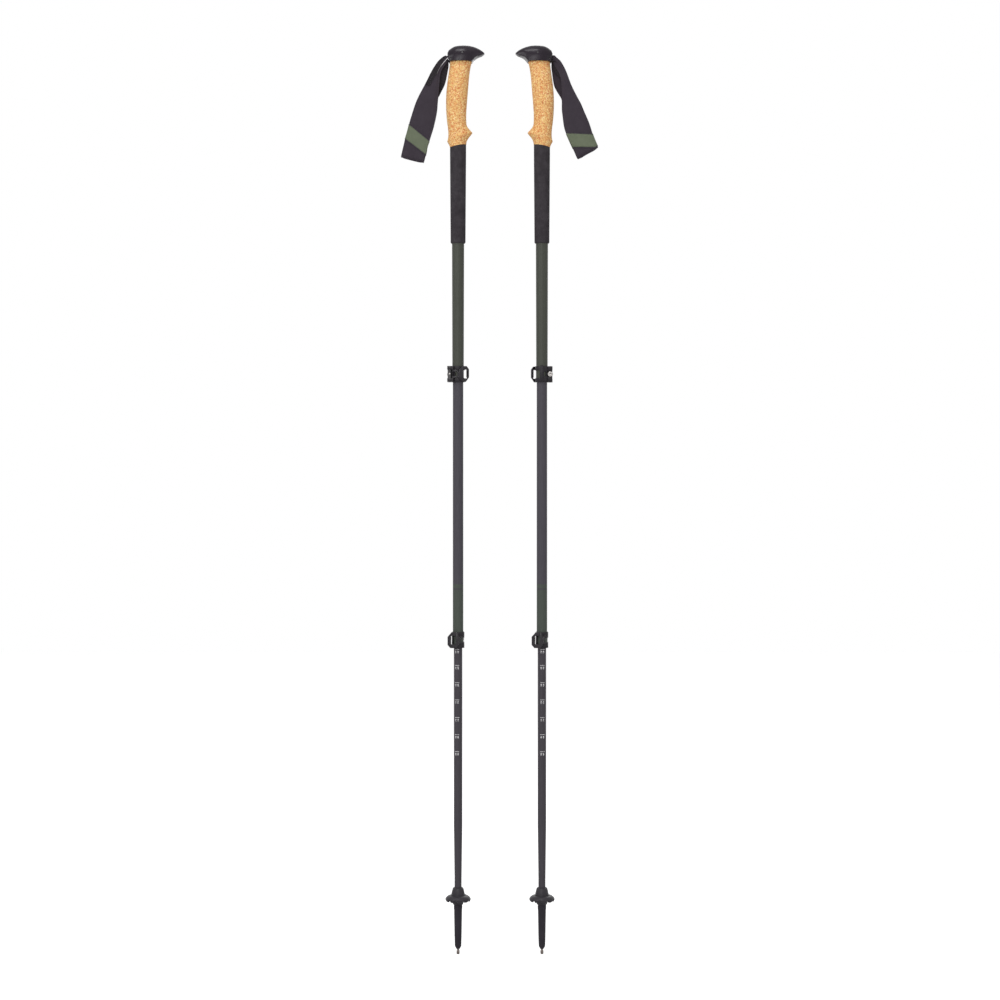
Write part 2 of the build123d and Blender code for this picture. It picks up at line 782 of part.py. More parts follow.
down = Vector(-sin(radians(strap_angle)), 0, -cos(radians(strap_angle)))
across = Vector(-cos(radians(strap_angle)), 0, sin(radians(strap_angle)))
strap_plane = Plane(origin=(strap_pin_x, 0, strap_pin_z), x_dir=down, z_dir=down.cross(across))
web_inner_r = strap_pin_r + web_pin_gap
web_outer_r = web_inner_r + web_wall

with BuildPart() as strap_web:
    with BuildSketch(strap_plane.offset(-web_width / 2)):
        Circle(web_outer_r)
        with Locations((web_strip_end / 2, web_inner_r + web_wall / 2)):
            Rectangle(web_strip_end, web_wall)
        Circle(web_inner_r, mode=Mode.SUBTRACT)
    extrude(amount=web_width)
    strip_end = Plane(
        origin=strap_plane.from_local_coords((web_strip_end, web_inner_r + web_wall / 2, 0)),
        x_dir=across,
        z_dir=down,
    )
    fan_from, fan_to = (strap_plane.from_local_coords((*end, 0)) for end in (fan_inner, fan_outer))
    fan_width = fan_to - fan_from
    fan_end = Plane(
        origin=(fan_from + fan_to) / 2, x_dir=fan_width, z_dir=fan_width.cross(Vector(0, -1, 0))
    )
    with BuildSketch(strip_end):
        Rectangle(web_wall, web_width)
    with BuildSketch(fan_end):
        Rectangle(fan_width.length, pad_neck)
    loft()
keep(strap_web.part, "strap_web", UPPER)

# The padded loop's edges, as (down the strap, across it).
pad_outer_edge = [fan_outer, (10.2, 16.9), (39.0, 21.0), (77.0, 24.3), (113.0, 21.8)]
pad_inner_edge = [(94.0, -11.0), (57.0, -3.4), (30.0, -3.0), fan_inner]
pad_folds = {"left": ((156.6, 16.8), (152.8, -16.6)), "right": ((143.6, 21.6), (149.0, -11.6))}
band_edges = {
    "left": ((109.0, 21.9), (119.8, -13.2), (139.6, -14.9), (129.8, 19.9)),
    "right": ((120.4, 24.6), (108.2, -11.4), (128.4, -12.4), (139.4, 22.9)),
}


def pad_outline(plane, fold):
    """Sketch the loop's outline, seen square on."""
    outer_fold, inner_fold = fold
    with BuildSketch(plane) as outline:
        with BuildLine():
            Spline(*pad_outer_edge, outer_fold)
            Line(outer_fold, inner_fold)
            Spline(inner_fold, *pad_inner_edge)
            Line(pad_inner_edge[-1], pad_outer_edge[0])
        make_face()
    return outline.sketch


def fold_plane(fold):
    """The plane that holds the loop's side view, square to its folded end."""
    outer_fold, inner_fold = (strap_plane.from_local_coords((*corner, 0)) for corner in fold)
    along_fold = (outer_fold - inner_fold).normalized()
    start = (outer_fold + inner_fold) / 2 - along_fold * fold_reach / 2
    return Plane(origin=start, x_dir=along_fold.cross(Vector(0, 1, 0)), z_dir=along_fold)


def loop_side(plane, wall, fold_length, start, neck):
    """Sketch a side view of the loop, from where it starts down to its folded end."""
    half = pad_gap / 2 + wall
    head = start - fold_length
    full = pad_open_full - fold_length
    bend = -pad_gap / 2 - pad_wall
    with BuildSketch(plane) as view:
        with BuildLine():
            Line((head, -neck / 2), (head, neck / 2))
            Spline((head, neck / 2), (full, half), tangents=((1, 0.05), (1, 0)))
            Line((full, half), (bend, half))
            ThreePointArc((bend, half), (bend + half, 0), (bend, -half))
            Line((bend, -half), (full, -half))
            Spline((full, -half), (head, -neck / 2), tangents=((-1, 0), (-1, 0.05)))
        make_face()
    return view.sketch


def make_pad(side):
    """Make the padded hand loop: two layers, joined at the neck and folded at the far end."""
    fold = pad_folds[side]
    fold_length = (fold[0][0] + fold[1][0]) / 2
    plane = fold_plane(fold)
    outside = loop_side(plane, pad_wall, fold_length, 0, pad_neck)
    inside = loop_side(plane, 0, fold_length, pad_open_start, pad_open_mouth)
    with BuildPart() as made:
        extrude(pad_outline(strap_plane.offset(-fold_reach / 2), fold), amount=fold_reach)
        extrude(outside, amount=fold_reach, mode=Mode.INTERSECT)
        extrude(inside, amount=fold_reach, mode=Mode.SUBTRACT)
    return made.part


def make_band(side):
    """Make the coloured band: one strip sewn on the outside of each layer."""
    corners = band_edges[side]
    with BuildPart() as made:
        for face in (pad_gap / 2 + pad_wall, -(pad_gap / 2 + pad_wall + band_wall)):
            with BuildSketch(strap_plane.offset(face)):
                with BuildLine():
                    Polyline(*corners, close=True)
                make_face()
            extrude(amount=band_wall)
    return made.part


for pole_side in ("left", "right"):
    keep(make_pad(pole_side), "strap_pad", UPPER, sides=(pole_side,))
    keep(make_band(pole_side), "strap_band", UPPER, sides=(pole_side,))


# ---- Tip, point and basket -----------------------------------------------------------------

with BuildPart() as tip_body:
    socket_r = lower_foot_r + glue_gap + socket_wall
    thread_outline = [(tip_shoulder_r, thread_foot_z)]
    for ring in range(thread_rings):
        foot = thread_foot_z + 0.4 + ring * thread_pitch
        thread_outline += [(thread_root_r, foot), (socket_r, foot + thread_pitch * 0.3)]
        thread_outline += [(socket_r, foot + thread_pitch * 0.6)]
    with BuildSketch(Plane.XZ):
        with BuildLine():
            Polyline(
                (0, tip_end_z),
                (tip_end_r, tip_end_z),
                (bead_r - 0.5, bead_z - 1.6),
                (bead_r, bead_z - 0.8),
                (bead_r, bead_z + 0.8),
                (tip_nose_r, bead_z + 1.6),
                (tip_nose_r, tip_nose_z),
                (tip_waist_r, tip_waist_z),
                *thread_outline,
                (socket_r, socket_top_z),
                (lower_foot_r + glue_gap, socket_top_z),
                (lower_foot_r + glue_gap, lower_tube_end_z),
                (0, lower_tube_end_z),
                close=True,
            )
        make_face()
    revolve(axis=Axis.Z)
    with BuildSketch(Plane.XY.offset(tip_end_z)):
        Circle(point_r + glue_gap)
    extrude(amount=point_depth, mode=Mode.SUBTRACT)
keep(tip_body.part, "tip_body", LOWER)

with BuildPart() as tip_point:
    with BuildSketch(Plane.XZ):
        with BuildLine():
            Polyline(
                (0, crown_rim_z),
                (crown_rim_r, 0),
                (crown_rim_r + crown_rim_wall, 0),
                (crown_r, crown_rim_z),
                (crown_r, crown_top_z),
                (point_r, crown_top_z + 0.9),
                (point_r, tip_end_z + point_depth - 0.2),
                (0, tip_end_z + point_depth - 0.2),
                close=True,
            )
        make_face()
    revolve(axis=Axis.Z)
keep(tip_point.part, "tip_point", LOWER)

with BuildPart() as basket:
    bore = socket_r + glue_gap
    basket_collar_r = bore + basket_collar_wall
    basket_hub_r = bore + basket_hub_wall
    with BuildSketch(Plane.XZ):
        with BuildLine():
            Polyline(
                (bore, basket_hub_foot_z),
                (basket_hub_r, basket_hub_foot_z),
                (basket_hub_r + 0.8, basket_rim_foot_z + basket_wall),
                (basket_cone_r + 1.0, basket_rim_z),
                (basket_r - basket_wall - 1.6, basket_rim_z - 0.6),
                (basket_r - basket_wall - 0.4, basket_rim_foot_z),
                (basket_r - 0.9, basket_rim_foot_z),
                (basket_r, basket_rim_z - 0.8),
                (basket_r - 1.2, basket_rim_z + 1.2),
                (basket_cone_r, basket_cone_foot_z),
                (basket_collar_r, basket_collar_top_z - 1.2),
                (basket_collar_r - 0.6, basket_collar_top_z),
                (bore, basket_collar_top_z),
                close=True,
            )
        make_face()
    revolve(axis=Axis.Z)
    with BuildSketch(Plane.XY.offset(basket_hub_foot_z)):
        with PolarLocations(basket_r + basket_lobe_cut_r - basket_lobe_depth, basket_lobes, start_angle=9):
            Circle(basket_lobe_cut_r)
    extrude(amount=basket_collar_top_z - basket_hub_foot_z, mode=Mode.SUBTRACT)
keep(basket.part, "basket", LOWER)
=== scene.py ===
# %% [markdown]
# # A pair of trekking poles
# The rigid shapes of the two poles come from the imported model, which arrives as a fixed frame in
# metres. This script gives every piece its finish, and it builds what a solid model can't carry,
# such as the padded wrist straps with their stitching.

import json
import math

import bmesh
import bpy
import numpy as np
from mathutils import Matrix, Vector

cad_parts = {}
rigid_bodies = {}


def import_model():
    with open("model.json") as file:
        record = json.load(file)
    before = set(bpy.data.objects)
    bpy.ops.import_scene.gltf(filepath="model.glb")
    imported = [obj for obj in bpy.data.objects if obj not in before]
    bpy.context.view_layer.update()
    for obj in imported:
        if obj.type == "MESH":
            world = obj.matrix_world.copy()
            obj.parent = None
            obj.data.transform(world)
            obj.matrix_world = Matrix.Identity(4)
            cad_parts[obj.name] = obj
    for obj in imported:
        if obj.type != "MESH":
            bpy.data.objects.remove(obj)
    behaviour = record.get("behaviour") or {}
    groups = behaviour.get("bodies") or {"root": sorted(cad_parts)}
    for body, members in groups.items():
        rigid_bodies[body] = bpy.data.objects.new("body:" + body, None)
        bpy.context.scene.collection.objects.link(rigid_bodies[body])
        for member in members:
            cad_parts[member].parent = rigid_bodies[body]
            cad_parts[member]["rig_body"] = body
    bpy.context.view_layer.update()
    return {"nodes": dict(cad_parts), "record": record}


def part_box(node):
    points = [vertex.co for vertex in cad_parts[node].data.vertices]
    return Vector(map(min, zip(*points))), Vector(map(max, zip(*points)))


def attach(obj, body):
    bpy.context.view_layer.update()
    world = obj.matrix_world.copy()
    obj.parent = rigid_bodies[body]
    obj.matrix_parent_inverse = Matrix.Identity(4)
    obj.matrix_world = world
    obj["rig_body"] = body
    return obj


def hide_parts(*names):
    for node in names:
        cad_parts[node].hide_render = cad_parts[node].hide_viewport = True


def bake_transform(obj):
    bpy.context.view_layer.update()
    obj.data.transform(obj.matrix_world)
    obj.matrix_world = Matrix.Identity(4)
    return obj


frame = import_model()
nodes = frame["nodes"]
SIDES = {"left": -1, "right": 1}
MM = 0.001

# %% [markdown]
# ## Shader maths as plain expressions
# A procedural finish is mostly arithmetic on coordinates and noise. Blender does this with Math
# nodes, which are tedious to add one at a time. The small class below wraps a node's output, so
# that `0.5 - mask * 2` adds the Math nodes itself. Any other node comes from its `node` method.


# %% A wrapper for shader sockets
class Wire:
    """One output socket of a material's node tree."""

    def __init__(self, tree, socket):
        self.tree = tree
        self.socket = socket

    def node(self, kind, settings, inputs, out=0):
        """Add a node: its settings are set first, then the values or links of its sockets."""
        made = self.tree.nodes.new("ShaderNode" + kind)
        for name, value in settings.items():
            if name == "stops":
                set_stops(made.color_ramp, value)
            else:
                setattr(made, name, value)
        for name, value in inputs.items():
            if isinstance(value, Wire):
                self.tree.links.new(value.socket, made.inputs[name])
            else:
                made.inputs[name].default_value = value
        return Wire(self.tree, made.outputs[out])

    def maths(self, operation, *values):
        return self.node("Math", {"operation": operation}, dict(enumerate(values)))

    def __add__(self, other):
        return self.maths("ADD", self, other)

    def __radd__(self, other):
        return self.maths("ADD", other, self)

    def __sub__(self, other):
        return self.maths("SUBTRACT", self, other)

    def __rsub__(self, other):
        return self.maths("SUBTRACT", other, self)

    def __mul__(self, other):
        return self.maths("MULTIPLY", self, other)

    def __rmul__(self, other):
        return self.maths("MULTIPLY", other, self)

    def __gt__(self, other):
        return self.maths("GREATER_THAN", self, other)

    def __lt__(self, other):
        return self.maths("LESS_THAN", self, other)

    def mix(self, start, end):
        """Blend two colours, with this value as the share of the second."""
        ends = {6: as_colour(start), 7: as_colour(end)}
        return self.node("Mix", {"data_type": "RGBA"}, {0: self, **ends}, out=2)

    def ramp(self, *stops):
        """Turn this value into a colour, from pairs of a place and a colour."""
        return self.node("ValToRGB", {"stops": stops}, {0: self})

    def rise(self, low, high):
        """A smooth step from 0 to 1 as this value goes from low to high."""
        span = {"Value": self, "From Min": low, "From Max": high}
        return self.node("MapRange", {"interpolation_type": "SMOOTHSTEP"}, span)


def set_stops(ramp, stops):
    """Give a colour ramp its stops."""
    while len(ramp.elements) < len(stops):
        ramp.elements.new(0.5)
    for element, (place, colour) in zip(ramp.elements, stops):
        element.position = place
        element.color = (*colour, 1.0)


def as_colour(value):
    return value if isinstance(value, Wire) else (*value, 1.0)


# %% [markdown]
# ## Every finish starts the same way
# Each one is a Principled shader and the piece's own coordinates. These are metres in the frame,
# so a scale of 500 makes features of about 2 mm on whatever piece the finish is put.


# %% A finish to start from
FINISHES = {}


def new_finish(name, colour, roughness, **plain):
    """Make a material. Returns its Principled node and its coordinates as a Wire."""
    material = bpy.data.materials.new(name)
    material.use_nodes = True
    tree = material.node_tree
    shader = tree.nodes["Principled BSDF"]
    shader.inputs["Base Color"].default_value = (*colour, 1.0)
    shader.inputs["Roughness"].default_value = roughness
    for socket, value in plain.items():
        shader.inputs[socket.replace("_", " ")].default_value = value
    FINISHES[name] = material
    return shader, Wire(tree, tree.nodes.new("ShaderNodeTexCoord").outputs["Object"])


def drive(shader, socket, wire):
    """Let a value that changes over the surface feed one of the shader's sockets."""
    wire.tree.links.new(wire.socket, shader.inputs[socket])


def noise(place, scale, detail=3.0, rough=0.5):
    """Fractal noise as a Wire from 0 to 1."""
    sockets = {"Vector": place, "Scale": scale, "Detail": detail, "Roughness": rough}
    return place.node("TexNoise", {}, sockets)


def bump(height, strength, depth):
    """Turn a height from 0 to 1 into a normal, with its full range worth a depth in metres."""
    return height.node("Bump", {}, {"Strength": strength, "Distance": depth, "Height": height})


def stretch(place, x, y, z):
    """Scale coordinates, so that a texture is drawn out along an axis."""
    return place.node("VectorMath", {"operation": "MULTIPLY"}, {0: place, 1: (x, y, z)})


def part_of(place, axis):
    """One coordinate of a place: 0 for x, 1 for y, 2 for z."""
    return place.node("SeparateXYZ", {}, {"Vector": place}, out=axis)


# %% [markdown]
# ## Cork
# The grips are pressed from cork granules of one to three millimetres, each a slightly different
# tan, with thin reddish-brown bark between them. A Voronoi texture has just this structure: a
# random value for each cell makes the granules, and the distance to the cell's edge makes the
# bark and the fine pits that the bump gives them.


# %% Cork
CORK_TAN = (0.820, 0.555, 0.225)
CORK_PALE = (0.930, 0.720, 0.370)
CORK_ORANGE = (0.750, 0.400, 0.130)
CORK_RED = (0.610, 0.160, 0.060)
CORK_BARK = (0.470, 0.150, 0.045)
shader, place = new_finish("cork", CORK_TAN, 0.78, Specular_IOR_Level=0.2)
warp = place.node("TexNoise", {}, {"Vector": place, "Scale": 260.0, "Detail": 2.0}, out=1)
wavy = place.node("VectorMath", {"operation": "MULTIPLY_ADD"}, {0: warp, 1: (0.002,) * 3, 2: place})
granule = place.node("TexVoronoi", {}, {"Vector": wavy, "Scale": 520.0}, out=1)
shade = part_of(granule, 0)
edge = place.node("TexVoronoi", {"feature": "DISTANCE_TO_EDGE"}, {"Vector": wavy, "Scale": 520.0})
fleck = place.node("TexVoronoi", {}, {"Vector": wavy, "Scale": 1150.0}, out=1)
tan = shade.ramp((0.0, CORK_ORANGE), (0.35, CORK_TAN), (0.75, CORK_TAN), (1.0, CORK_PALE))
bark = (0.07 - edge).rise(0.0, 0.06) * (noise(place, 300.0) > 0.50) * 0.55
speck = (part_of(fleck, 1) > 0.90) * (noise(place, 160.0) > 0.40) * 0.75
patch = noise(place, 680.0, 1.0, 0.5).rise(0.51, 0.60) * 0.88
base = patch.mix(tan, CORK_RED)
drive(shader, "Base Color", speck.mix(bark.mix(base, CORK_BARK), CORK_BARK))
grain = edge.rise(0.0, 0.2) * 0.7 + noise(place, 2200.0) * 0.3 - speck * 0.5
drive(shader, "Normal", bump(grain, 0.55, 0.00025))
drive(shader, "Roughness", 0.70 + noise(place, 900.0) * 0.2)

# %% [markdown]
# ## Closed-cell foam
# The grip extension is charcoal foam. Its skin is matt and faintly mottled, with pores too fine
# to see one by one, so two scales of noise are enough: a broad one for the mottling and a fine
# one for the pores.

# %% Foam
FOAM_DARK = (0.030, 0.026, 0.030)
FOAM_LIGHT = (0.052, 0.046, 0.052)
shader, place = new_finish("foam", FOAM_DARK, 0.9, Specular_IOR_Level=0.12)
pores = place.node("TexVoronoi", {}, {"Vector": place, "Scale": 1900.0})
mottle = noise(place, 90.0, 4.0, 0.6)
drive(shader, "Base Color", mottle.rise(0.25, 0.75).mix(FOAM_DARK, FOAM_LIGHT))
drive(shader, "Normal", bump(pores * 0.6 + noise(place, 3000.0) * 0.4, 0.5, 0.00012))
drive(shader, "Roughness", 0.82 + mottle * 0.15)

# %% [markdown]
# ## Lacquered carbon tubes
# The tubes are rolled from carbon-fibre cloth and sprayed with a satin lacquer. Up close the fibre
# still shows as fine streaks along the tube. The three tubes share this recipe with their own
# colours. The middle tube's foot is sprayed olive like the upper one, below a thin dark ring.


# %% Carbon tubes
def tube_finish(name, colour, streak_colour, roughness, gloss):
    """A lacquered carbon tube: lengthwise fibre streaks in a satin lacquer."""
    shader, place = new_finish(name, colour, roughness, Specular_IOR_Level=gloss)
    fibre = noise(stretch(place, 2600.0, 2600.0, 45.0), 1.0, 3.0, 0.6).rise(0.30, 0.75)
    drive(shader, "Base Color", fibre.mix(colour, streak_colour))
    drive(shader, "Roughness", roughness + noise(place, 420.0) * 0.10)
    drive(shader, "Normal", bump(fibre * 0.5 + noise(place, 500.0) * 0.5, 0.12, 0.0001))
    return shader, place, fibre


OLIVE = (0.047, 0.050, 0.040)
OLIVE_LIGHT = (0.062, 0.066, 0.053)
GRAPHITE = (0.056, 0.052, 0.062)
GRAPHITE_LIGHT = (0.072, 0.067, 0.080)
tube_finish("upper_carbon", OLIVE, OLIVE_LIGHT, 0.38, 0.18)
tube_finish("lower_carbon", (0.046, 0.041, 0.049), (0.060, 0.054, 0.064), 0.42, 0.18)
shader, place, fibre = tube_finish("middle_carbon", GRAPHITE, GRAPHITE_LIGHT, 0.45, 0.14)
OLIVE_TOP_Z = 0.5293
DARK_RING_Z = (0.5212, 0.5238)
height = part_of(place, 2)
olive = 1.0 - height.rise(OLIVE_TOP_Z - 0.0003, OLIVE_TOP_Z + 0.0003)
ring = (height > DARK_RING_Z[0]) * (height < DARK_RING_Z[1]) * 0.8
bare = fibre.mix(GRAPHITE, GRAPHITE_LIGHT)
sprayed = olive.mix(bare, fibre.mix((0.058, 0.068, 0.058), (0.070, 0.081, 0.070)))
drive(shader, "Base Color", ring.mix(sprayed, GRAPHITE))

# %% [markdown]
# ## Moulded plastics
# The heads, locks, tips and baskets are black nylon from steel moulds. Such a surface is satin
# and finely pebbled, and it is never one even black: handling polishes it in broad patches. So
# the roughness follows a broad noise, and a fine noise gives the pebbling.


# %% Moulded plastics
def moulded_finish(name, dark, light, roughness, pebble, gloss=0.15):
    """Moulded nylon with handling marks and a pebbled skin."""
    shader, place = new_finish(name, dark, roughness, Specular_IOR_Level=gloss)
    worn = noise(place, 55.0, 4.0, 0.55).rise(0.3, 0.75)
    drive(shader, "Base Color", worn.mix(dark, light))
    drive(shader, "Roughness", roughness + worn * 0.10 - 0.05 + noise(place, 700.0) * 0.05)
    drive(shader, "Normal", bump(noise(place, pebble, 2.0), 0.25, 0.00008))


moulded_finish("head_plastic", (0.012, 0.008, 0.013), (0.017, 0.011, 0.018), 0.25, 1500.0, 0.20)
moulded_finish("lock_plastic", (0.015, 0.013, 0.016), (0.022, 0.019, 0.023), 0.38, 1800.0, 0.18)
moulded_finish("tip_plastic", (0.021, 0.018, 0.024), (0.029, 0.025, 0.033), 0.45, 1300.0)
moulded_finish("basket_plastic", (0.020, 0.017, 0.022), (0.028, 0.024, 0.031), 0.38, 1100.0, 0.28)
moulded_finish("plug_nylon", (0.045, 0.043, 0.045), (0.060, 0.058, 0.060), 0.50, 1200.0, 0.3)
moulded_finish("bush_nylon", (0.640, 0.625, 0.580), (0.700, 0.690, 0.650), 0.45, 1200.0, 0.5)

# %% [markdown]
# ## Metals
# Three metals show. The levers are forged aluminium, anodised near-black. Their bevelled edges are
# given bright bare metal, partly as wear and partly as a painted highlight for their lit edges. The
# screws and pins are plated steel, turned on a lathe. The point is a hard sintered metal, brownish
# grey and slightly rough. The barrel nuts and the heads' pins are steel too, but blackened, so that
# only the screws' ends shine.

# %% Metals
shader, place = new_finish("lever_alloy", (0.019, 0.017, 0.019), 0.30, Specular_IOR_Level=0.30)
worn = noise(place, 120.0, 4.0, 0.6).rise(0.35, 0.8)
drive(shader, "Base Color", worn.mix((0.016, 0.014, 0.017), (0.028, 0.024, 0.029)))
drive(shader, "Roughness", 0.26 + worn * 0.12)
drive(shader, "Normal", bump(noise(place, 2400.0), 0.15, 0.00005))

# Bright bare metal on the bevels: partly wear, partly a painted highlight for the lit edges.
shader, place = new_finish("lever_edge", (0.50, 0.48, 0.50), 0.30)
rub_and_highlight = noise(place, 300.0, 4.0, 0.6).rise(0.30, 0.50)
drive(shader, "Base Color", rub_and_highlight.mix((0.20, 0.19, 0.20), (0.90, 0.88, 0.90)))
drive(shader, "Metallic", rub_and_highlight * 0.9)
drive(shader, "Roughness", 0.38 - rub_and_highlight * 0.10)


def turned_finish(name, colour, dark, light, **plain):
    """Steel with the fine rings that a lathe leaves."""
    shader, place = new_finish(name, colour, 0.34, **plain)
    turned = noise(stretch(place, 3000.0, 200.0, 3000.0), 1.0, 2.0)
    drive(shader, "Base Color", turned.mix(dark, light))
    drive(shader, "Roughness", 0.30 + turned * 0.14)
    drive(shader, "Normal", bump(turned, 0.15, 0.00004))


BLACK = ((0.040, 0.038, 0.040), (0.030, 0.028, 0.030), (0.055, 0.052, 0.054))
PLATED = ((0.30, 0.29, 0.28), (0.20, 0.19, 0.18), (0.42, 0.40, 0.39))
turned_finish("black_steel", *BLACK, Specular_IOR_Level=0.4)
turned_finish("steel", *PLATED, Metallic=1.0)

shader, place = new_finish("carbide", (0.20, 0.17, 0.15), 0.38, Metallic=1.0)
ground = noise(stretch(place, 900.0, 900.0, 4000.0), 1.0, 3.0)
drive(shader, "Base Color", ground.mix((0.13, 0.110, 0.100), (0.26, 0.225, 0.205)))
drive(shader, "Roughness", 0.30 + ground * 0.20)
drive(shader, "Normal", bump(ground, 0.30, 0.00008))

# %% [markdown]
# ## Strap fabrics
# The wrist strap has three cloths: a close dark facing on the pads, ribbed webbing where it goes
# into the head, and an olive band. Each strap mesh carries its own cloth coordinates, across and
# along the strap, in an attribute, so that threads follow the strap round its folds. Sine waves of
# those coordinates make the threads.


# %% Fabrics
def cloth_finish(name, dark, light, pitch, rib, slant):
    """A woven cloth whose threads follow the strap."""
    shader, place = new_finish(name, dark, 0.85, Specular_IOR_Level=0.12)
    lie = place.node("Attribute", {"attribute_name": "cloth_place"}, {}, out=1)
    over, along = part_of(lie, 0), part_of(lie, 1)
    turns = 2 * math.pi / pitch
    warp = over * turns + along * (turns * slant)
    warp_thread = warp.maths("SINE", warp)
    weft_thread = (along * turns).maths("SINE", along * turns * rib)
    weave = warp_thread * 0.25 + weft_thread * 0.25 + 0.5
    fuzz = noise(place, 1400.0, 2.0)
    rubbed = noise(place, 70.0, 3.0, 0.6).rise(0.3, 0.8)
    drive(shader, "Base Color", (weave * 0.55 + fuzz * 0.2 + rubbed * 0.25).mix(dark, light))
    drive(shader, "Normal", bump(weave * 0.8 + fuzz * 0.2, 0.5, 0.00012))
    drive(shader, "Roughness", 0.80 + fuzz * 0.15)


cloth_finish("strap_webbing", (0.032, 0.025, 0.033), (0.054, 0.045, 0.056), 0.0009, 1.0, 0.0)
cloth_finish("ribbed_webbing", (0.012, 0.010, 0.012), (0.036, 0.032, 0.036), 0.0016, 0.4, 0.9)
cloth_finish("strap_band", (0.100, 0.118, 0.078), (0.160, 0.182, 0.125), 0.0008, 1.0, 0.0)
cloth_finish("strap_thread", (0.050, 0.045, 0.052), (0.085, 0.078, 0.088), 0.0008, 1.0, 0.5)
cloth_finish("strap_hem", (0.016, 0.013, 0.017), (0.030, 0.026, 0.031), 0.0008, 1.0, 0.5)

# The bead's colour is painted light: a bright painted highlight above these heights, near the head,
# and a fainter painted highlight below them.
PAINTED_GLINT_Z = (1.2675, 1.2745)
shader, place = new_finish("selvedge", (0.50, 0.49, 0.50), 0.35)
twist = noise(place, 1600.0, 2.0)
# Below those heights: a fainter painted highlight.
worn = twist.mix((0.080, 0.074, 0.082), (0.150, 0.142, 0.152))
painted_glint = twist.mix((0.55, 0.54, 0.56), (0.88, 0.86, 0.88))
drive(shader, "Base Color", part_of(place, 2).rise(*PAINTED_GLINT_Z).mix(worn, painted_glint))
drive(shader, "Roughness", 0.30 + twist * 0.2)
drive(shader, "Normal", bump(twist, 0.3, 0.00005))

# %% Put the finishes on the frame's own pieces
for entry in frame["record"]["subparts"]:
    piece = nodes[entry["node"]]
    piece.data.materials.clear()
    piece.data.materials.append(FINISHES[entry["material_slot"]])
SLOT_OF = {entry["node"]: entry["material_slot"] for entry in frame["record"]["subparts"]}
BODY_OF = {name: piece["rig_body"] for name, piece in nodes.items()}
print("finishes:", ", ".join(sorted(FINISHES)))

# %% [markdown]
# ## Moulded and forged edges
# A solid model's edges are perfectly sharp, and a sharp edge never catches the light. On the real
# locks, heads and tips each edge has a radius of a few tenths of a millimetre, and that is where
# their bright outlines come from. Each such piece gets a copy whose coplanar facets are joined
# first, so that a Bevel modifier sees the true edges. The copy then stands in for the node.


# %% Put a new piece in the scene
def link(name, data):
    """A new object with this mesh, curve or other data, in the scene."""
    made = bpy.data.objects.new(name, data)
    bpy.context.scene.collection.objects.link(made)
    return made


def new_piece(name, mesh, body, slot, *finishes):
    """Link a mesh as a piece of the model, on its body if one is given. Without finishes it takes
    its slot's.
    """
    made = link(name, mesh)
    mesh.materials.clear()
    for finish in finishes or (slot,):
        mesh.materials.append(FINISHES[finish])
    if body:
        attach(made, body)
    return made


# %% Round a piece's edges
EDGE_ANGLE = math.radians(28)
SAME_POINT = 2e-6
SAME_FLAT = math.radians(0.8)


def evaluated_mesh(piece):
    """The mesh of a piece, a curve or a text as its modifiers and settings leave it."""
    bpy.context.view_layer.update()
    evaluated = piece.evaluated_get(bpy.context.evaluated_depsgraph_get())
    return bpy.data.meshes.new_from_object(evaluated)


def round_edges(node, width, segments=2, edge_finish=None, finish=None, reshape=None):
    """Replace a node by a copy with its sharp edges rounded."""
    mesh = nodes[node].data.copy()
    form = bmesh.new()
    form.from_mesh(mesh)
    if reshape:
        reshape(form, node)
    bmesh.ops.remove_doubles(form, verts=form.verts, dist=SAME_POINT)
    bmesh.ops.dissolve_limit(form, angle_limit=SAME_FLAT, verts=form.verts, edges=form.edges)
    form.to_mesh(mesh)
    form.free()
    slot = SLOT_OF[node]
    finishes = (slot, edge_finish) if edge_finish else (finish or slot,)
    made = new_piece(node + "_edged", mesh, None, slot, *finishes)
    for face in mesh.polygons:
        face.material_index = 0
        face.use_smooth = True
    bevel = made.modifiers.new("edges", "BEVEL")
    bevel.width = width * MM
    bevel.segments = segments
    bevel.limit_method = "ANGLE"
    bevel.angle_limit = EDGE_ANGLE
    bevel.harden_normals = True
    bevel.material = 1 if edge_finish else -1
    made.data = evaluated_mesh(made)
    made.modifiers.clear()
    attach(made, BODY_OF[node])
    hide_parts(node)


# %% Fill out the tip's nose
# The nose stays full almost to its end: heights above the ground and radii, in millimetres.
NOSE_Z = (7.4, 11.2, 12.0, 13.6, 14.4, 15.6, 27.0)
NOSE_R = (2.3, 4.5, 4.6, 4.7, 4.72, 4.82, 5.15)
NOSE_END_Z = 26.9
NOSE_BORE_R = 1.7


def fuller_nose(form, node):
    """Move the nose's outer rings out to their radii."""
    low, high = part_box(node)
    centre = (low + high) / 2
    for vert in form.verts:
        away = math.hypot(vert.co.x - centre.x, vert.co.y - centre.y) / MM
        if away > NOSE_BORE_R and vert.co.z / MM < NOSE_END_Z:
            grow = float(np.interp(vert.co.z / MM, NOSE_Z, NOSE_R)) / away
            vert.co.x = centre.x + (vert.co.x - centre.x) * grow
            vert.co.y = centre.y + (vert.co.y - centre.y) * grow


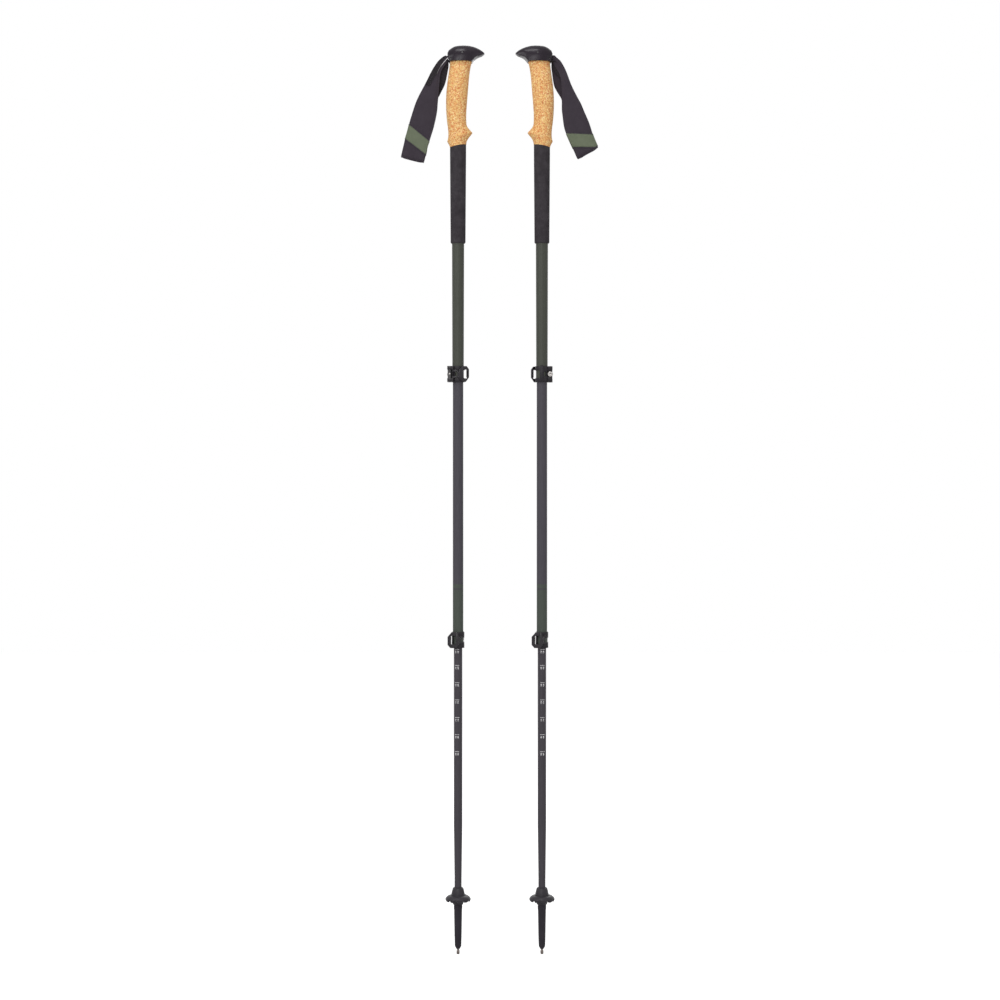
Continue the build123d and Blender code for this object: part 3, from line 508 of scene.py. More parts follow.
# %% Round the edges of the rigid pieces
for side in SIDES:
    for lock in ("upper", "lower"):
        round_edges(f"{side}_{lock}_collar", 0.45, 3)
        # The levers' bevels get the bright edge finish, which is partly a painted highlight.
        round_edges(f"{side}_{lock}_lever", 0.55, 3, "lever_edge")
        round_edges(f"{side}_{lock}_screw", 0.20, 2)
        round_edges(f"{side}_{lock}_barrel", 0.20, 2, finish="black_steel")
    round_edges(f"{side}_grip_head", 0.8, 3)
    round_edges(f"{side}_tip_body", 0.3, 2, reshape=fuller_nose)
    round_edges(f"{side}_tip_point", 0.2, 2)
    round_edges(f"{side}_head_pin", 0.2, 2, finish="black_steel")
    round_edges(f"{side}_strap_pin", 0.2, 2, finish="black_steel")
edged = [o for o in bpy.data.objects if o.name.endswith("_edged")]
print("rounded:", sum(len(o.data.polygons) for o in edged), "faces")

# %% [markdown]
# ## The basket
# A trekking basket is one moulding: a cone that grips the tip, a groove round its foot and a
# domed rim with scallops under its edge, so that snow and mud fall off. It is nearly a turned
# form, so it is a lathe: one outline carried round in small steps, with the scallops lifting the
# rim's lower points. The outline has pairs of close points where an edge should look crisp.

# %% Basket
BASKET_OUTLINE = [
    (6.25, 94.9), (7.0, 95.0), (7.5, 94.6), (7.75, 93.8), (8.9, 89.6), (9.55, 86.4), (9.85, 83.9),
    (10.0, 83.2), (10.5, 82.95), (11.0, 83.3), (11.8, 83.9), (13.0, 84.1), (14.6, 83.4),
    (16.3, 82.1), (17.5, 80.7), (18.0, 79.6), (18.12, 78.6), (17.9, 77.5), (17.4, 76.4),
    (16.9, 75.7), (16.3, 75.6), (15.9, 76.1), (15.2, 78.0), (13.4, 79.3), (10.6, 78.2),
    (8.6, 75.8), (7.5, 72.2), (7.2, 71.4), (6.25, 71.4),
]
BASKET_STEPS = 120
SCALLOPS = 10
SCALLOP_RISE = 2.2
SCALLOP_CUT = 0.9
SCALLOP_TURN = math.radians(9)
SCALLOP_INSIDE_R = 15.0
SCALLOP_TOP_Z = 80.0
SCALLOP_FADE = 3.0
GRIP_X = 60.0


def turn_outward(mesh):
    """Point a closed mesh's faces outward and shade them smooth."""
    form = bmesh.new()
    form.from_mesh(mesh)
    bmesh.ops.recalc_face_normals(form, faces=form.faces)
    form.to_mesh(mesh)
    form.free()
    for face in mesh.polygons:
        face.use_smooth = True


def scalloped(radius, z, angle):
    """Lift and pull in the rim's lower points where a scallop is."""
    depth = max(0.0, math.cos(SCALLOPS * (angle - SCALLOP_TURN))) ** 2
    if radius > SCALLOP_INSIDE_R and z < SCALLOP_TOP_Z:
        share = depth * min(1.0, (SCALLOP_TOP_Z - z) / SCALLOP_FADE)
        return radius - SCALLOP_CUT * share, z + SCALLOP_RISE * share
    return radius, z


for side, turn in SIDES.items():
    spots, faces = [], []
    for step in range(BASKET_STEPS):
        angle = 2 * math.pi * step / BASKET_STEPS
        for radius, z in BASKET_OUTLINE:
            radius, z = scalloped(radius, z, angle)
            x, y = radius * MM * math.cos(angle), radius * MM * math.sin(angle)
            spots.append((turn * GRIP_X * MM + x, y, z * MM))
    size = len(BASKET_OUTLINE)
    for step in range(BASKET_STEPS):
        here, there = step * size, (step + 1) % BASKET_STEPS * size
        for n in range(size):
            m = (n + 1) % size
            faces.append((here + n, here + m, there + m, there + n))
    mesh = bpy.data.meshes.new(f"{side}_scalloped_basket")
    mesh.from_pydata(spots, [], faces)
    turn_outward(mesh)
    piece = new_piece(mesh.name, mesh, BODY_OF[f"{side}_basket"], "basket_plastic")
    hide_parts(f"{side}_basket")
    print(piece.name, len(mesh.polygons), "faces")

# %% [markdown]
# ## The straps' own coordinates
# Both poles are the same, and one is turned half a turn. So each strap is built in the same local
# frame, in millimetres: `d` outward from the pole's axis, `h` towards the strap's outer layer and
# `z` up. Turning that frame with the pole puts a strap in place, and its shape stays right-handed.


# %% Curves through measured points
def place_on(side, spots):
    """Turn local (d, h, z) millimetres into the frame's metres."""
    turn = SIDES[side]
    spots = np.asarray(spots, float)
    moved = np.stack([turn * (GRIP_X + spots[..., 0]), turn * spots[..., 1], spots[..., 2]], -1)
    return moved * MM


def reach_along(spots):
    """How far each spot of a line is from its first one, along the line."""
    return np.concatenate([[0], np.cumsum(np.linalg.norm(np.diff(spots, axis=0), axis=1))])


def read_line(at, reach, spots):
    """The spots at some distances along a line."""
    return np.stack([np.interp(at, reach, spots[:, axis]) for axis in range(3)], -1)


CURVE_STEPS = 24


def smooth_line(spots, count):
    """A Catmull-Rom curve through the spots, as evenly spaced points."""
    spots = np.asarray(spots, float)
    padded = np.vstack([2 * spots[0] - spots[1], spots, 2 * spots[-1] - spots[-2]])
    dense = []
    for before, here, there, after in zip(padded, padded[1:], padded[2:], padded[3:]):
        for t in np.linspace(0, 1, CURVE_STEPS, endpoint=False):
            bend = 2 * before - 5 * here + 4 * there - after
            twist = 3 * here - before - 3 * there + after
            dense.append(here + 0.5 * t * (there - before + t * (bend + t * twist)))
    dense = np.array(dense + [spots[-1]])
    reach = reach_along(dense)
    return read_line(np.linspace(0, reach[-1], count), reach, dense)


def ease(value, low, high):
    """0 below low, 1 above high and a smooth step between them."""
    t = np.clip((np.asarray(value, float) - low) / (high - low), 0, 1)
    return t * t * (3 - 2 * t)


# %% [markdown]
# ## The padded loop's outline
# The loop is two layers of padded cloth, joined at the head and folded at the far end. Near the
# head they are gathered into one, and further down they stand about seven millimetres apart. The
# two edges of each layer are listed here. The layer whose face has the webbing is the outer one,
# and it faces the front on the left pole and the back on the right one.


# %% Edge lines of the two loops
PIN = (10.6, 1279.6)
# Each layer's middle stands this far from the plane between the two layers.
LAYER_H = 4.8
PAD_HALF = 1.3
EDGES = {
    "left": {
        "rim": [(14.6, 1285), (19.6, 1283.9), (25.2, 1280.6), (29.4, 1276.3), (35.1, 1267.7),
                (39.8, 1259.1), (43.8, 1250.6), (48.1, 1242), (52.7, 1233.4), (57.1, 1224.8),
                (60.8, 1216.2), (63.7, 1207.6), (66.4, 1199), (69, 1190.5), (71, 1181.9),
                (73.3, 1173.3), (75.9, 1164.7), (77.9, 1156.1)],
        "outer": [(14.4, 1277), (19.5, 1270.2), (23.6, 1263.1), (25.5, 1254.9), (26.6, 1243),
                  (27.8, 1228.1), (28.9, 1216.2), (29.5, 1207.6), (30.8, 1199), (32.6, 1190.5),
                  (34.8, 1181.9), (37.5, 1173.3), (40.2, 1164.7), (43.5, 1156.1), (45.4, 1147.5)],
        "inner": [(13.6, 1275.6), (13.6, 1270), (14.6, 1264.1), (15.8, 1258), (17.5, 1249.8),
                  (19.3, 1244.1), (22, 1238.2), (25.2, 1232.4), (28.3, 1226.4), (29.2, 1220.5),
                  (29.5, 1215.5), (30.3, 1207.6), (31.5, 1199), (33.3, 1190.5), (35.4, 1181.9),
                  (38.1, 1173.3), (40.8, 1164.7), (43.9, 1156.1), (45.4, 1147.5)],
        "fold": ((82.0, 1139.2), (49.4, 1131.1)),
    },
    "right": {
        "rim": [(14.6, 1285.4), (19, 1283.8), (24, 1280), (27.4, 1276.3), (32.3, 1267.7),
                (36, 1259.1), (39, 1250.6), (42.3, 1242), (46.4, 1233.4), (50.9, 1224.8),
                (55.6, 1216.2), (59.2, 1207.6), (62.9, 1199), (66.6, 1190.5), (69.6, 1181.9),
                (72.3, 1173.3), (75.5, 1164.7)],
        "outer": [(13.6, 1275), (13.5, 1269), (14.3, 1262), (15.2, 1255), (16.3, 1248),
                  (18, 1241.4), (20.8, 1236), (24.2, 1230.6), (27.6, 1225), (28.7, 1219),
                  (28.8, 1207.6), (29.7, 1199), (31.4, 1186.2), (33.6, 1177.6), (37.2, 1169),
                  (41, 1160.4), (45, 1151.8)],
        "inner": [(14.4, 1277), (18, 1270), (23, 1262), (26.4, 1253.4), (27.8, 1240),
                  (28.3, 1226.2), (28.3, 1207.6), (29.3, 1199), (31, 1186.2), (33.2, 1177.6),
                  (36.8, 1169), (40.8, 1160.4), (44.9, 1151.8)],
        "fold": ((81.0, 1153.4), (52.1, 1136.4)),
    },
}

# %% The loop's edges in space
HEAD_OUTER_H = 1.3
HEAD_INNER_H = -2.3
LAYER_ROWS = 76
FOLD_ROWS = 13
FOLD_POINTS = 7
# How far from the pin the layers start to part and stand fully apart.
SPREAD = (12, 62)


def from_pin(spots):
    """Distance of each spot from the pin that the strap hangs on."""
    spots = np.asarray(spots, float)
    return np.hypot(spots[..., 0] - PIN[0], spots[..., -1] - PIN[1])


def at_height(spots, near, far):
    """Give flat spots their height, which changes with the distance from the pin."""
    rise = near + (far - near) * ease(from_pin(spots), *SPREAD)
    return [(d, h, z) for (d, z), h in zip(spots, rise)]


def fold_arc(corner, direction):
    """Points round the far end of the loop, from the outer layer to the inner one."""
    centre = np.array(corner) - direction * (LAYER_H + PAD_HALF)
    turns = np.linspace(0, math.pi, FOLD_POINTS + 2)[1:-1]
    swing = [centre + direction * LAYER_H * math.sin(turn) for turn in turns]
    return [(d, LAYER_H * math.cos(turn), z) for (d, z), turn in zip(swing, turns)]


def loop_edges(side):
    """Both edges of a padded loop, as points that go down one layer and up the other."""
    lines = EDGES[side]
    corners = np.array(lines["fold"])
    along_fold = (corners[0] - corners[1]) / np.linalg.norm(corners[0] - corners[1])
    direction = np.array([along_fold[1], -along_fold[0]])
    made = []
    for corner, down, up in zip(corners, ("rim", "outer"), ("rim", "inner")):
        down_line = at_height(lines[down], HEAD_OUTER_H, LAYER_H)
        up_line = at_height(lines[up], HEAD_INNER_H, -LAYER_H)
        arc = fold_arc(corner, direction)
        top = smooth_line(down_line + arc[:2], LAYER_ROWS)[:-2]
        bend = smooth_line(arc, FOLD_ROWS)
        bottom = smooth_line(arc[-2:] + up_line[::-1], LAYER_ROWS)[2:]
        made.append(np.vstack([top, bend, bottom]))
    return made[1], made[0]


# %% [markdown]
# ## A padded strip
# The loop's cross-section is a soft lens: thin at the bound edge, a shallow groove where the
# stitches pull the cloth down, then the full thickness of the foam. The mesh is that section
# carried along the two edge lines. Each vertex keeps its place across and along the strip in an
# attribute, which is what the fabric's threads are drawn from.


# %% Build a strip between two edge lines
EDGE_STEPS = (0.0, 0.25, 0.7, 1.4, 2.1, 2.8, 4.2, 7.0)
FULL_HALF_WIDE = 8.5
CENTRE_COLUMNS = 6
HEM_COLUMNS = 4
PAD_PROFILE = (0.0, 0.42, 0.62, 0.66, 0.40, 0.72, 1.05, 1.30)
WEB_PROFILE = (0.0, 0.32, 0.50, 0.52, 0.52, 0.52, 0.52, 0.52)


def strip_frame(inner, outer):
    """The middle, width, across and normal directions at each station of a strip."""
    middle = (inner + outer) / 2
    across = outer - inner
    width = np.linalg.norm(across, axis=1)
    across = across / width[:, None]
    along = np.gradient(middle, axis=0)
    normal = np.cross(across, along)
    normal /= np.linalg.norm(normal, axis=1)[:, None]
    for i in range(3):
        normal[1:-1] = (normal[:-2] + 2 * normal[1:-1] + normal[2:]) / 4
    normal /= np.linalg.norm(normal, axis=1)[:, None]
    return width, across, normal, reach_along(middle)


def strip_faces(inner, outer, profile, thin=None, ripple=None):
    """Upper and lower surface grids of a strip, with each point's place in the cloth."""
    width, across, normal, reach = strip_frame(inner, outer)
    steps = np.array(EDGE_STEPS)
    upper, lower, cloth = [], [], []
    for i, wide in enumerate(width):
        fit = min(1.0, wide / 2 / FULL_HALF_WIDE)
        inset = steps[-1] * fit
        centre = np.linspace(inset, wide - inset, CENTRE_COLUMNS + 2)[1:-1]
        spots = np.concatenate([steps * fit, centre, (wide - steps * fit)[::-1]])
        from_edge = np.minimum(spots, wide - spots) / fit
        half = np.interp(from_edge, steps, profile) * (1.0 if thin is None else thin[i])
        lift = np.zeros_like(spots) if ripple is None else ripple(i, spots, wide, reach[i])
        base = inner[i] + spots[:, None] * across[i] + lift[:, None] * normal[i]
        upper.append(base + half[:, None] * normal[i])
        lower.append(base - half[:, None] * normal[i])
        cloth.append(np.stack([spots - wide / 2, np.full(len(spots), reach[i]), 0 * spots], -1))
    return np.array(upper), np.array(lower), np.array(cloth) * MM


# %% Close a strip into a mesh
def closed_strip(name, side, upper, lower, cloth):
    """A closed mesh from the upper and lower grids of a strip."""
    rows, columns = upper.shape[:2]
    ring = [(j, True) for j in range(columns)]
    ring += [(j, False) for j in range(columns - 2, 0, -1)]
    size = len(ring)
    spots, places, faces, shades = [], [], [], []
    for i in range(rows):
        for j, is_upper in ring:
            spots.append((upper if is_upper else lower)[i, j])
            places.append(cloth[i, j])
    for i in range(rows - 1):
        for n in range(size):
            m = (n + 1) % size
            faces.append((i * size + n, (i + 1) * size + n, (i + 1) * size + m, i * size + m))
            pair = ring[n][0], ring[m][0]
            near_edge = min(pair) < HEM_COLUMNS or max(pair) >= columns - HEM_COLUMNS
            shades.append(1 if near_edge else 0)
    faces.append(tuple(range(size)))
    faces.append(tuple(reversed(range((rows - 1) * size, rows * size))))
    mesh = bpy.data.meshes.new(name)
    mesh.from_pydata(place_on(side, spots).tolist(), [], faces)
    mesh.attributes.new("cloth_place", "FLOAT_VECTOR", "POINT")
    mesh.attributes["cloth_place"].data.foreach_set("vector", np.array(places).ravel())
    for face, shade in zip(mesh.polygons, shades + [1, 1]):
        face.material_index = shade
    turn_outward(mesh)
    return mesh


# %% [markdown]
# ## Placing a strap piece
# The strap swings on its pin. Here a strap piece only has its placement baked into its mesh, and
# it is not tied to the head or to the strap's own body.


# %% Bake a strap piece's placement
HANG_START = (13.0, 0.0, 1281.0)
HANG_END = (30.0, 0.0, 1266.0)


def hang(piece, side):
    """Bake a piece's placement into its mesh."""
    start, end = place_on(side, [HANG_START, HANG_END])
    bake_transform(piece)


# %% [markdown]
# ## The padded loops
# Gathering the cloth at the slot makes small lengthwise ripples that die out further down. On top
# of them the foam gives the face a slight unevenness. Both are made of sines on the strip's own
# coordinates, so the same loop comes out each time.


# %% Padded loops
PADS = {}
UNEVEN = {"left": 0.7, "right": -1.3}
# Distances from the pin at which the gathers end and the foam gets its full thickness.
GATHERED = (10, 45)
THINNED = (6, 34)
for side in SIDES:
    inner, outer = loop_edges(side)
    gather = 1 - ease(np.minimum(from_pin(inner), from_pin(outer)), *GATHERED)
    thin = 0.55 + 0.45 * ease(from_pin(inner), *THINNED)
    uneven = UNEVEN[side]

    def cloth_ripple(i, spots, wide, reach):
        """How far the cloth's middle surface stands off a flat strip at station i."""
        fade = np.sin(np.pi * np.clip(spots / wide, 0, 1)) ** 0.5
        tucks = np.sin(spots * 1.15 + 0.6 * math.sin(reach * 0.10) + uneven) * 0.55 * gather[i]
        swell = np.sin(spots * 0.21 + reach * 0.045 + uneven) * np.sin(reach * 0.071 + 1.0) * 0.35
        return (tucks + swell) * fade

    upper, lower, cloth = strip_faces(inner, outer, PAD_PROFILE, thin, cloth_ripple)
    mesh = closed_strip(f"{side}_hand_loop", side, upper, lower, cloth)
    cloths = ("strap_webbing", "strap_hem")
    piece = new_piece(f"{side}_hand_loop", mesh, None, "strap_webbing", *cloths)
    hang(piece, side)
    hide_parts(f"{side}_strap_pad")
    PADS[side] = (upper, cloth, strip_frame(inner, outer)[2])
    print(piece.name, len(mesh.vertices), "vertices")

# %% [markdown]
# ## The webbing in the head
# One narrow strip of ribbed webbing goes into the head's slot, round the pin and out again. One
# end lies on the outer layer's face, along the rim, and the other on the inner layer's inner
# face. In the slot its width is level, and outside it twists a quarter turn to lie flat on the
# loop. Each of its edges is one curve, so the twist comes from the two curves alone.

# %% Webbing
WEB_HALF = 0.52
WEB_HALF_WIDE = 7.2
WEB_LINES = {
    "left": {
        "outer_in": [(40.2, 1241.4), (35.5, 1250), (30.2, 1259.7), (26.6, 1266.6), (23.1, 1272.1),
                     (19, 1276.9)],
        "outer_rim": [(46.7, 1243.6), (43, 1250.8), (39.1, 1259.1), (34.4, 1267.7), (28.8, 1276.1),
                     (24.6, 1280.9)],
        "inner_in": [(14.4, 1271.2), (15.8, 1259.1), (17.4, 1250.6), (20.3, 1242), (24.4, 1233.4),
                     (27.7, 1226.4)],
        "inner_rim": [(24.6, 1274.4), (28.3, 1264.2), (31.3, 1255.5), (34.4, 1246.9),
                     (38.4, 1238.3), (41.7, 1231.3)],
    },
    "right": {
        "outer_in": [(31.7, 1237), (28.2, 1247), (25.4, 1256), (22.8, 1264), (19.6, 1271),
                     (17.4, 1276.4)],
        "outer_rim": [(41.6, 1241), (38, 1250.6), (35, 1259.1), (31.3, 1267.7), (26.4, 1276),
                     (22.8, 1280.6)],
        "inner_in": [(14.6, 1270.6), (19, 1260), (28, 1250.6), (28.8, 1240), (29.4, 1228)],
        "inner_rim": [(23.6, 1274.4), (29.2, 1264.2), (35.7, 1253.5), (39.2, 1242), (41.7, 1231.3)],
    },
}
SLOT_MOUTH = 13.4
STRAND_TOP_Z = 1281.65
STRAND_FOOT_Z = 1277.55
RIM_OVER_TOP = [(19.6, 0.9, 1284.9), (17.2, -1.6, 1285.7), (15.0, -4.6, 1284.6)]
FACE_ROWS, SLOT_ROWS, BACK_ROWS = 60, 36, 56
PATCH_ROWS = 24


def slot_turn(h):
    """One edge of the webbing in the slot: in at its top, round the pin and out at its foot."""
    reach = (STRAND_TOP_Z - STRAND_FOOT_Z) / 2
    angles = np.linspace(0, math.pi, 5)
    turn = [(PIN[0] - reach * math.sin(a), h, PIN[1] + reach * math.cos(a)) for a in angles]
    return [(SLOT_MOUTH, h, STRAND_TOP_Z)] + turn + [(SLOT_MOUTH, h, STRAND_FOOT_Z)]


# %% Make the webbing
WEBS = {}
# The webbing's height over each layer near the head, and its gap to the padded face.
FACE_HEAD_H = 2.6
BACK_HEAD_H = -0.9
FACE_GAP = 0.1
FACE_H = LAYER_H + PAD_HALF + WEB_HALF + FACE_GAP
BACK_H = -(LAYER_H - PAD_HALF - WEB_HALF)
for side in SIDES:
    lines = WEB_LINES[side]
    edges = []
    for edge, h in (("in", WEB_HALF_WIDE), ("rim", -WEB_HALF_WIDE)):
        face = at_height(lines[f"outer_{edge}"], FACE_HEAD_H, FACE_H)
        back = at_height(lines[f"inner_{edge}"], BACK_HEAD_H, BACK_H)
        turn = slot_turn(h)
        over = RIM_OVER_TOP if edge == "rim" else []
        parts = [(face + over + turn[:1], FACE_ROWS), (turn, SLOT_ROWS)]
        parts.append((turn[-1:] + back, BACK_ROWS))
        edges.append(np.vstack([smooth_line(spots, count)[:-1] for spots, count in parts]))
    upper, lower, cloth = strip_faces(edges[0], edges[1], WEB_PROFILE)
    mesh = closed_strip(f"{side}_webbing", side, upper, lower, cloth)
    patch_end = PATCH_ROWS * (2 * upper.shape[1] - 2)
    for face in mesh.polygons:
        face.material_index = 1 if face.index < patch_end else 0
    cloths = ("ribbed_webbing", "strap_webbing")
    piece = new_piece(f"{side}_webbing", mesh, None, "strap_webbing", *cloths)
    hang(piece, side)
    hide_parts(f"{side}_strap_web")
    WEBS[side] = lower
    print(piece.name, len(mesh.vertices), "vertices")

# %% [markdown]
# ## The olive band
# A band is sewn round each loop. It follows the padded face exactly, so it is cut from that face:
# each column of the pad's grid is read between the band's two edge lines, and the points are
# lifted by the cloth's thickness. A dark seam lies along both of its edges.

# %% Where a line crosses the pad's grid
BAND_LINES = {
    "left": (((69.4, 1185.6), (42.1, 1163.3)), ((75.3, 1165.1), (47.5, 1144.0))),
    "right": (((74.1, 1172.0), (39.1, 1173.4)), ((81.7, 1153.4), (47.1, 1153.4))),
}


def below_line(spots, line):
    """How far spots lie past a line in the (d, z) plane. It is positive down the strap."""
    (d0, z0), (d1, z1) = line
    length = math.hypot(d1 - d0, z1 - z0)
    return ((spots[..., 0] - d0) * (z1 - z0) - (spots[..., 2] - z0) * (d1 - d0)) / length


def read_grid(grid, row, column):
    """A grid's value between two rows."""
    low = int(min(max(math.floor(row), 0), len(grid) - 2))
    return grid[low, column] * (1 - (row - low)) + grid[low + 1, column] * (row - low)


def row_at_line(grid, column, line, rows):
    """The fractional row at which a column crosses a line, within a span of rows."""
    past = below_line(grid[rows[0]:rows[1], column], line)
    past = past * (1 if past[-1] > past[0] else -1)
    if past[0] > 0 or past[-1] < 0:
        return rows[0] if past[0] > 0 else rows[1] - 1
    step = int(np.argmax(past > 0))
    return rows[0] + step - past[step] / (past[step] - past[step - 1])


# %% A bead along a line
def mesh_of(data):
    """The mesh of a curve or a text."""
    holder = link(data.name, data)
    mesh = evaluated_mesh(holder)
    bpy.data.objects.remove(holder)
    return mesh


def bead(name, side, spots, radius, finish):
    """A thin round tube along local spots."""
    line = bpy.data.curves.new(name, "CURVE")
    line.dimensions = "3D"
    line.bevel_depth = radius * MM
    line.bevel_resolution = 2
    line.use_fill_caps = True
    thread = line.splines.new("POLY")
    thread.points.add(len(spots) - 1)
    for point, spot in zip(thread.points, place_on(side, spots)):
        point.co = (*spot, 1.0)
    mesh = mesh_of(line)
    mesh.name = name
    for face in mesh.polygons:
        face.use_smooth = True
    return new_piece(name, mesh, None, "strap_webbing", finish)


# %% Cut a band from the pad
BAND_LIFT = 0.55
BAND_ROWS = 9
# Within this many columns of the rim the band moves outward and its lift grows less.
RIM_COLUMNS = 3
RIM_OUT = 0.8
RIM_DROP = 0.7


def cut_band(side, lines, rows):
    """A band's face between two lines, lifted off the pad, and its place in the cloth."""
    grid, cloth, normals = PADS[side]
    columns = grid.shape[1]
    ends = [[row_at_line(grid, n, line, rows) for line in lines] for n in range(columns)]
    spots, places = [], []
    for share in np.linspace(0, 1, BAND_ROWS):
        for column, (first, last) in enumerate(ends):
            row = first + (last - first) * share
            sideways = grid[int(row), -1] - grid[int(row), 0]
            sideways = sideways / np.linalg.norm(sideways)
            rim = max(0.0, 1 - min(column, columns - 1 - column) / RIM_COLUMNS)
            out = sideways * (1 if column > columns / 2 else -1) * rim * BAND_LIFT * RIM_OUT
            lift = normals[int(row)] * BAND_LIFT * (1 - rim * RIM_DROP)
            spots.append(read_grid(grid, row, column) + out + lift)
            places.append(read_grid(cloth, row, column))
    shape = (BAND_ROWS, columns, 3)
    return np.reshape(spots, shape), np.reshape(places, shape)


# %% Bands
BAND_SUNK = 0.35
SEAM_R = 0.38
FOLD_REACH = 5
for side in SIDES:
    normals = PADS[side][2]
    half_way = len(normals) // 2
    spans = {"outer": (0, half_way - FOLD_REACH), "inner": (half_way + FOLD_REACH, len(normals))}
    for layer, rows in spans.items():
        lines = BAND_LINES[side] if layer == "outer" else BAND_LINES[side][::-1]
        face, cloth = cut_band(side, lines, rows)
        foot = face - normals[(rows[0] + rows[1]) // 2] * (BAND_LIFT + BAND_SUNK)
        band = f"{side}_band_{layer}"
        mesh = closed_strip(band, side, face, foot, cloth)
        piece = new_piece(band, mesh, f"{side}_strap", "strap_band", "strap_band", "strap_band")
        if layer == "outer":
            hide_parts(f"{side}_strap_band")
        for name, row in (("top", 0), ("foot", -1)):
            seam = bead(f"{band}_{name}_seam", side, face[row], SEAM_R, "strap_thread")
            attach(seam, f"{side}_strap")
        print(piece.name, len(mesh.polygons), "faces")

# %% [markdown]
# ## The webbing's selvedge
# The webbing is woven with a smooth selvedge, a cord-like edge of shiny filament. Where it bends
# out of the head it is pulled taut and catches the light as a thin line. That line is a painted
# highlight on a fine bead along the webbing's inner edge: bright near the head, dimmer further
# down.

# %% Selvedges
SELVEDGE_R = 0.5
for side in SIDES:
    line = WEBS[side][PATCH_ROWS:FACE_ROWS - 1, 0]
    # A bead along the webbing's inner edge, coloured as a painted highlight.
    piece = bead(f"{side}_selvedge", side, line, SELVEDGE_R, "selvedge")
    hang(piece, side)
    print(side, "selvedge", len(line), "points")

# %% [markdown]
# ## Stitching
# Lock stitches are short dashes that dip into the cloth at both ends. Each dash is a small
# six-sided capsule, and the row follows a line of the pad's own grid, so it stays in the groove.

# %% A row of stitches
STITCH = 2.2
STITCH_GAP = 0.9
STITCH_R = 0.20
DASH_SIDES = 6
# A dash's rings: how far along it, how wide, and how far above the cloth. The last two are
# shares of its radius.
DASH_AT = (0.0, 0.14, 0.5, 0.86, 1.0)
DASH_WIDE = (0.3, 0.9, 1, 0.9, 0.3)
DASH_LIFT = (-0.8, 0.1, 0.5, 0.1, -0.8)


def stitches(name, side, spots, out):
    """One mesh of stitch dashes along local spots, with `out` the cloth's outward directions."""
    spots, out = np.asarray(spots, float), np.asarray(out, float)
    reach = reach_along(spots)
    points, faces = [], []
    start = STITCH_GAP
    while start + STITCH < reach[-1]:
        at = start + STITCH * np.array(DASH_AT)
        line, up = read_line(at, reach, spots), read_line(at, reach, out)
        along = line[-1] - line[0]
        along /= np.linalg.norm(along)
        first = len(points)
        for spot, normal, wide, lift in zip(line, up, DASH_WIDE, DASH_LIFT):
            beside = np.cross(along, normal)
            for n in range(DASH_SIDES):
                turn = 2 * math.pi * n / DASH_SIDES
                swing = normal * math.cos(turn) + beside * math.sin(turn)
                points.append(spot + normal * lift * STITCH_R + swing * STITCH_R * wide)
        last = len(points) - DASH_SIDES
        for ring in range(first, last, DASH_SIDES):
            for n in range(DASH_SIDES):
                a, b = ring + n, ring + (n + 1) % DASH_SIDES
                faces.append((a, b, b + DASH_SIDES, a + DASH_SIDES))
        faces.append(tuple(reversed(range(first, first + DASH_SIDES))))
        faces.append(tuple(range(last, len(points))))
        start += STITCH + STITCH_GAP
    mesh = bpy.data.meshes.new(name)
    mesh.from_pydata(place_on(side, points).tolist(), [], faces)
    for face in mesh.polygons:
        face.use_smooth = True
    hang(new_piece(name, mesh, None, "strap_webbing", "strap_thread"), side)
    return len(points) // (DASH_SIDES * len(DASH_AT))


# %% Stitch the loops and the webbing
# The groove's column, the rows left out at a loop's ends, and the webbing's rows and columns
# left out round its box.
GROOVE = 4
LOOP_ENDS = 6
INSET = 3
for side in SIDES:
    grid, normals = PADS[side][0], PADS[side][2]
    span = slice(LOOP_ENDS, -LOOP_ENDS)
    total = 0
    for edge, column in (("in", GROOVE), ("rim", -1 - GROOVE)):
        total += stitches(f"{side}_{edge}_stitches", side, grid[span, column], normals[span])
    web = WEBS[side]
    facing = strip_frame(web[:, 0], web[:, -1])[2] * -1
    rows, last = PATCH_ROWS - INSET, web.shape[1] - 1 - INSET
    down = list(range(1, rows + 1))
    box = [web[row, INSET] for row in down] + [web[row, last] for row in down[::-1]]
    box.append(web[1, INSET])
    slants = [(t, round((t - 1) / (rows - 1) * (last - INSET))) for t in down[::3]]
    one_way = [web[row, INSET + step] for row, step in slants]
    other_way = [web[row, last - step] for row, step in slants]
    lines = {"box": box, "first_cross": one_way, "second_cross": other_way}
    for row_name, spots in lines.items():
        out = np.repeat(facing[INSET:INSET + 1], len(spots), axis=0)
        total += stitches(f"{side}_{row_name}_stitches", side, spots, out)
    print(side, total, "stitches")

# %% [markdown]
# ## Length marks
# The lower tubes carry a scale, so that both poles can be set to the same length. Each mark is a
# thin ring segment with its length in centimetres twice below it. Text objects are converted to
# flat meshes, turned to read along the tube and wrapped round it, a few hundredths of a
# millimetre proud, as printed ink is.

# %% The scale's ink and its sizes
MARKS = {130: 436.4, 125: 413.5, 120: 388.9, 115: 364.3, 110: 339.1, 105: 314.7, 100: 290.4}
MARK_WIDE = 6.6
INK_LIFT = 0.06
TEXT_BOLD = 0.025
TEXT_SIZE = 2.5
TEXT_APART = 1.7
TEXT_BELOW = 4.0
TEXT_LONG_EDGE = 0.6
MARK_TALL = 0.45
MARK_STEPS = 10
MARK_AIM = {"left": -104.0, "right": -84.0}
MARK_SPAN = (0.27, 0.45)
RADIUS_STEPS = 37
SAME_HEIGHT = 2e-5
shader, place = new_finish("scale_ink", (0.78, 0.77, 0.78), 0.5)
worn = noise(place, 900.0, 3.0, 0.6).rise(0.25, 0.55)
drive(shader, "Base Color", worn.mix((0.50, 0.49, 0.50), (0.84, 0.83, 0.84)))


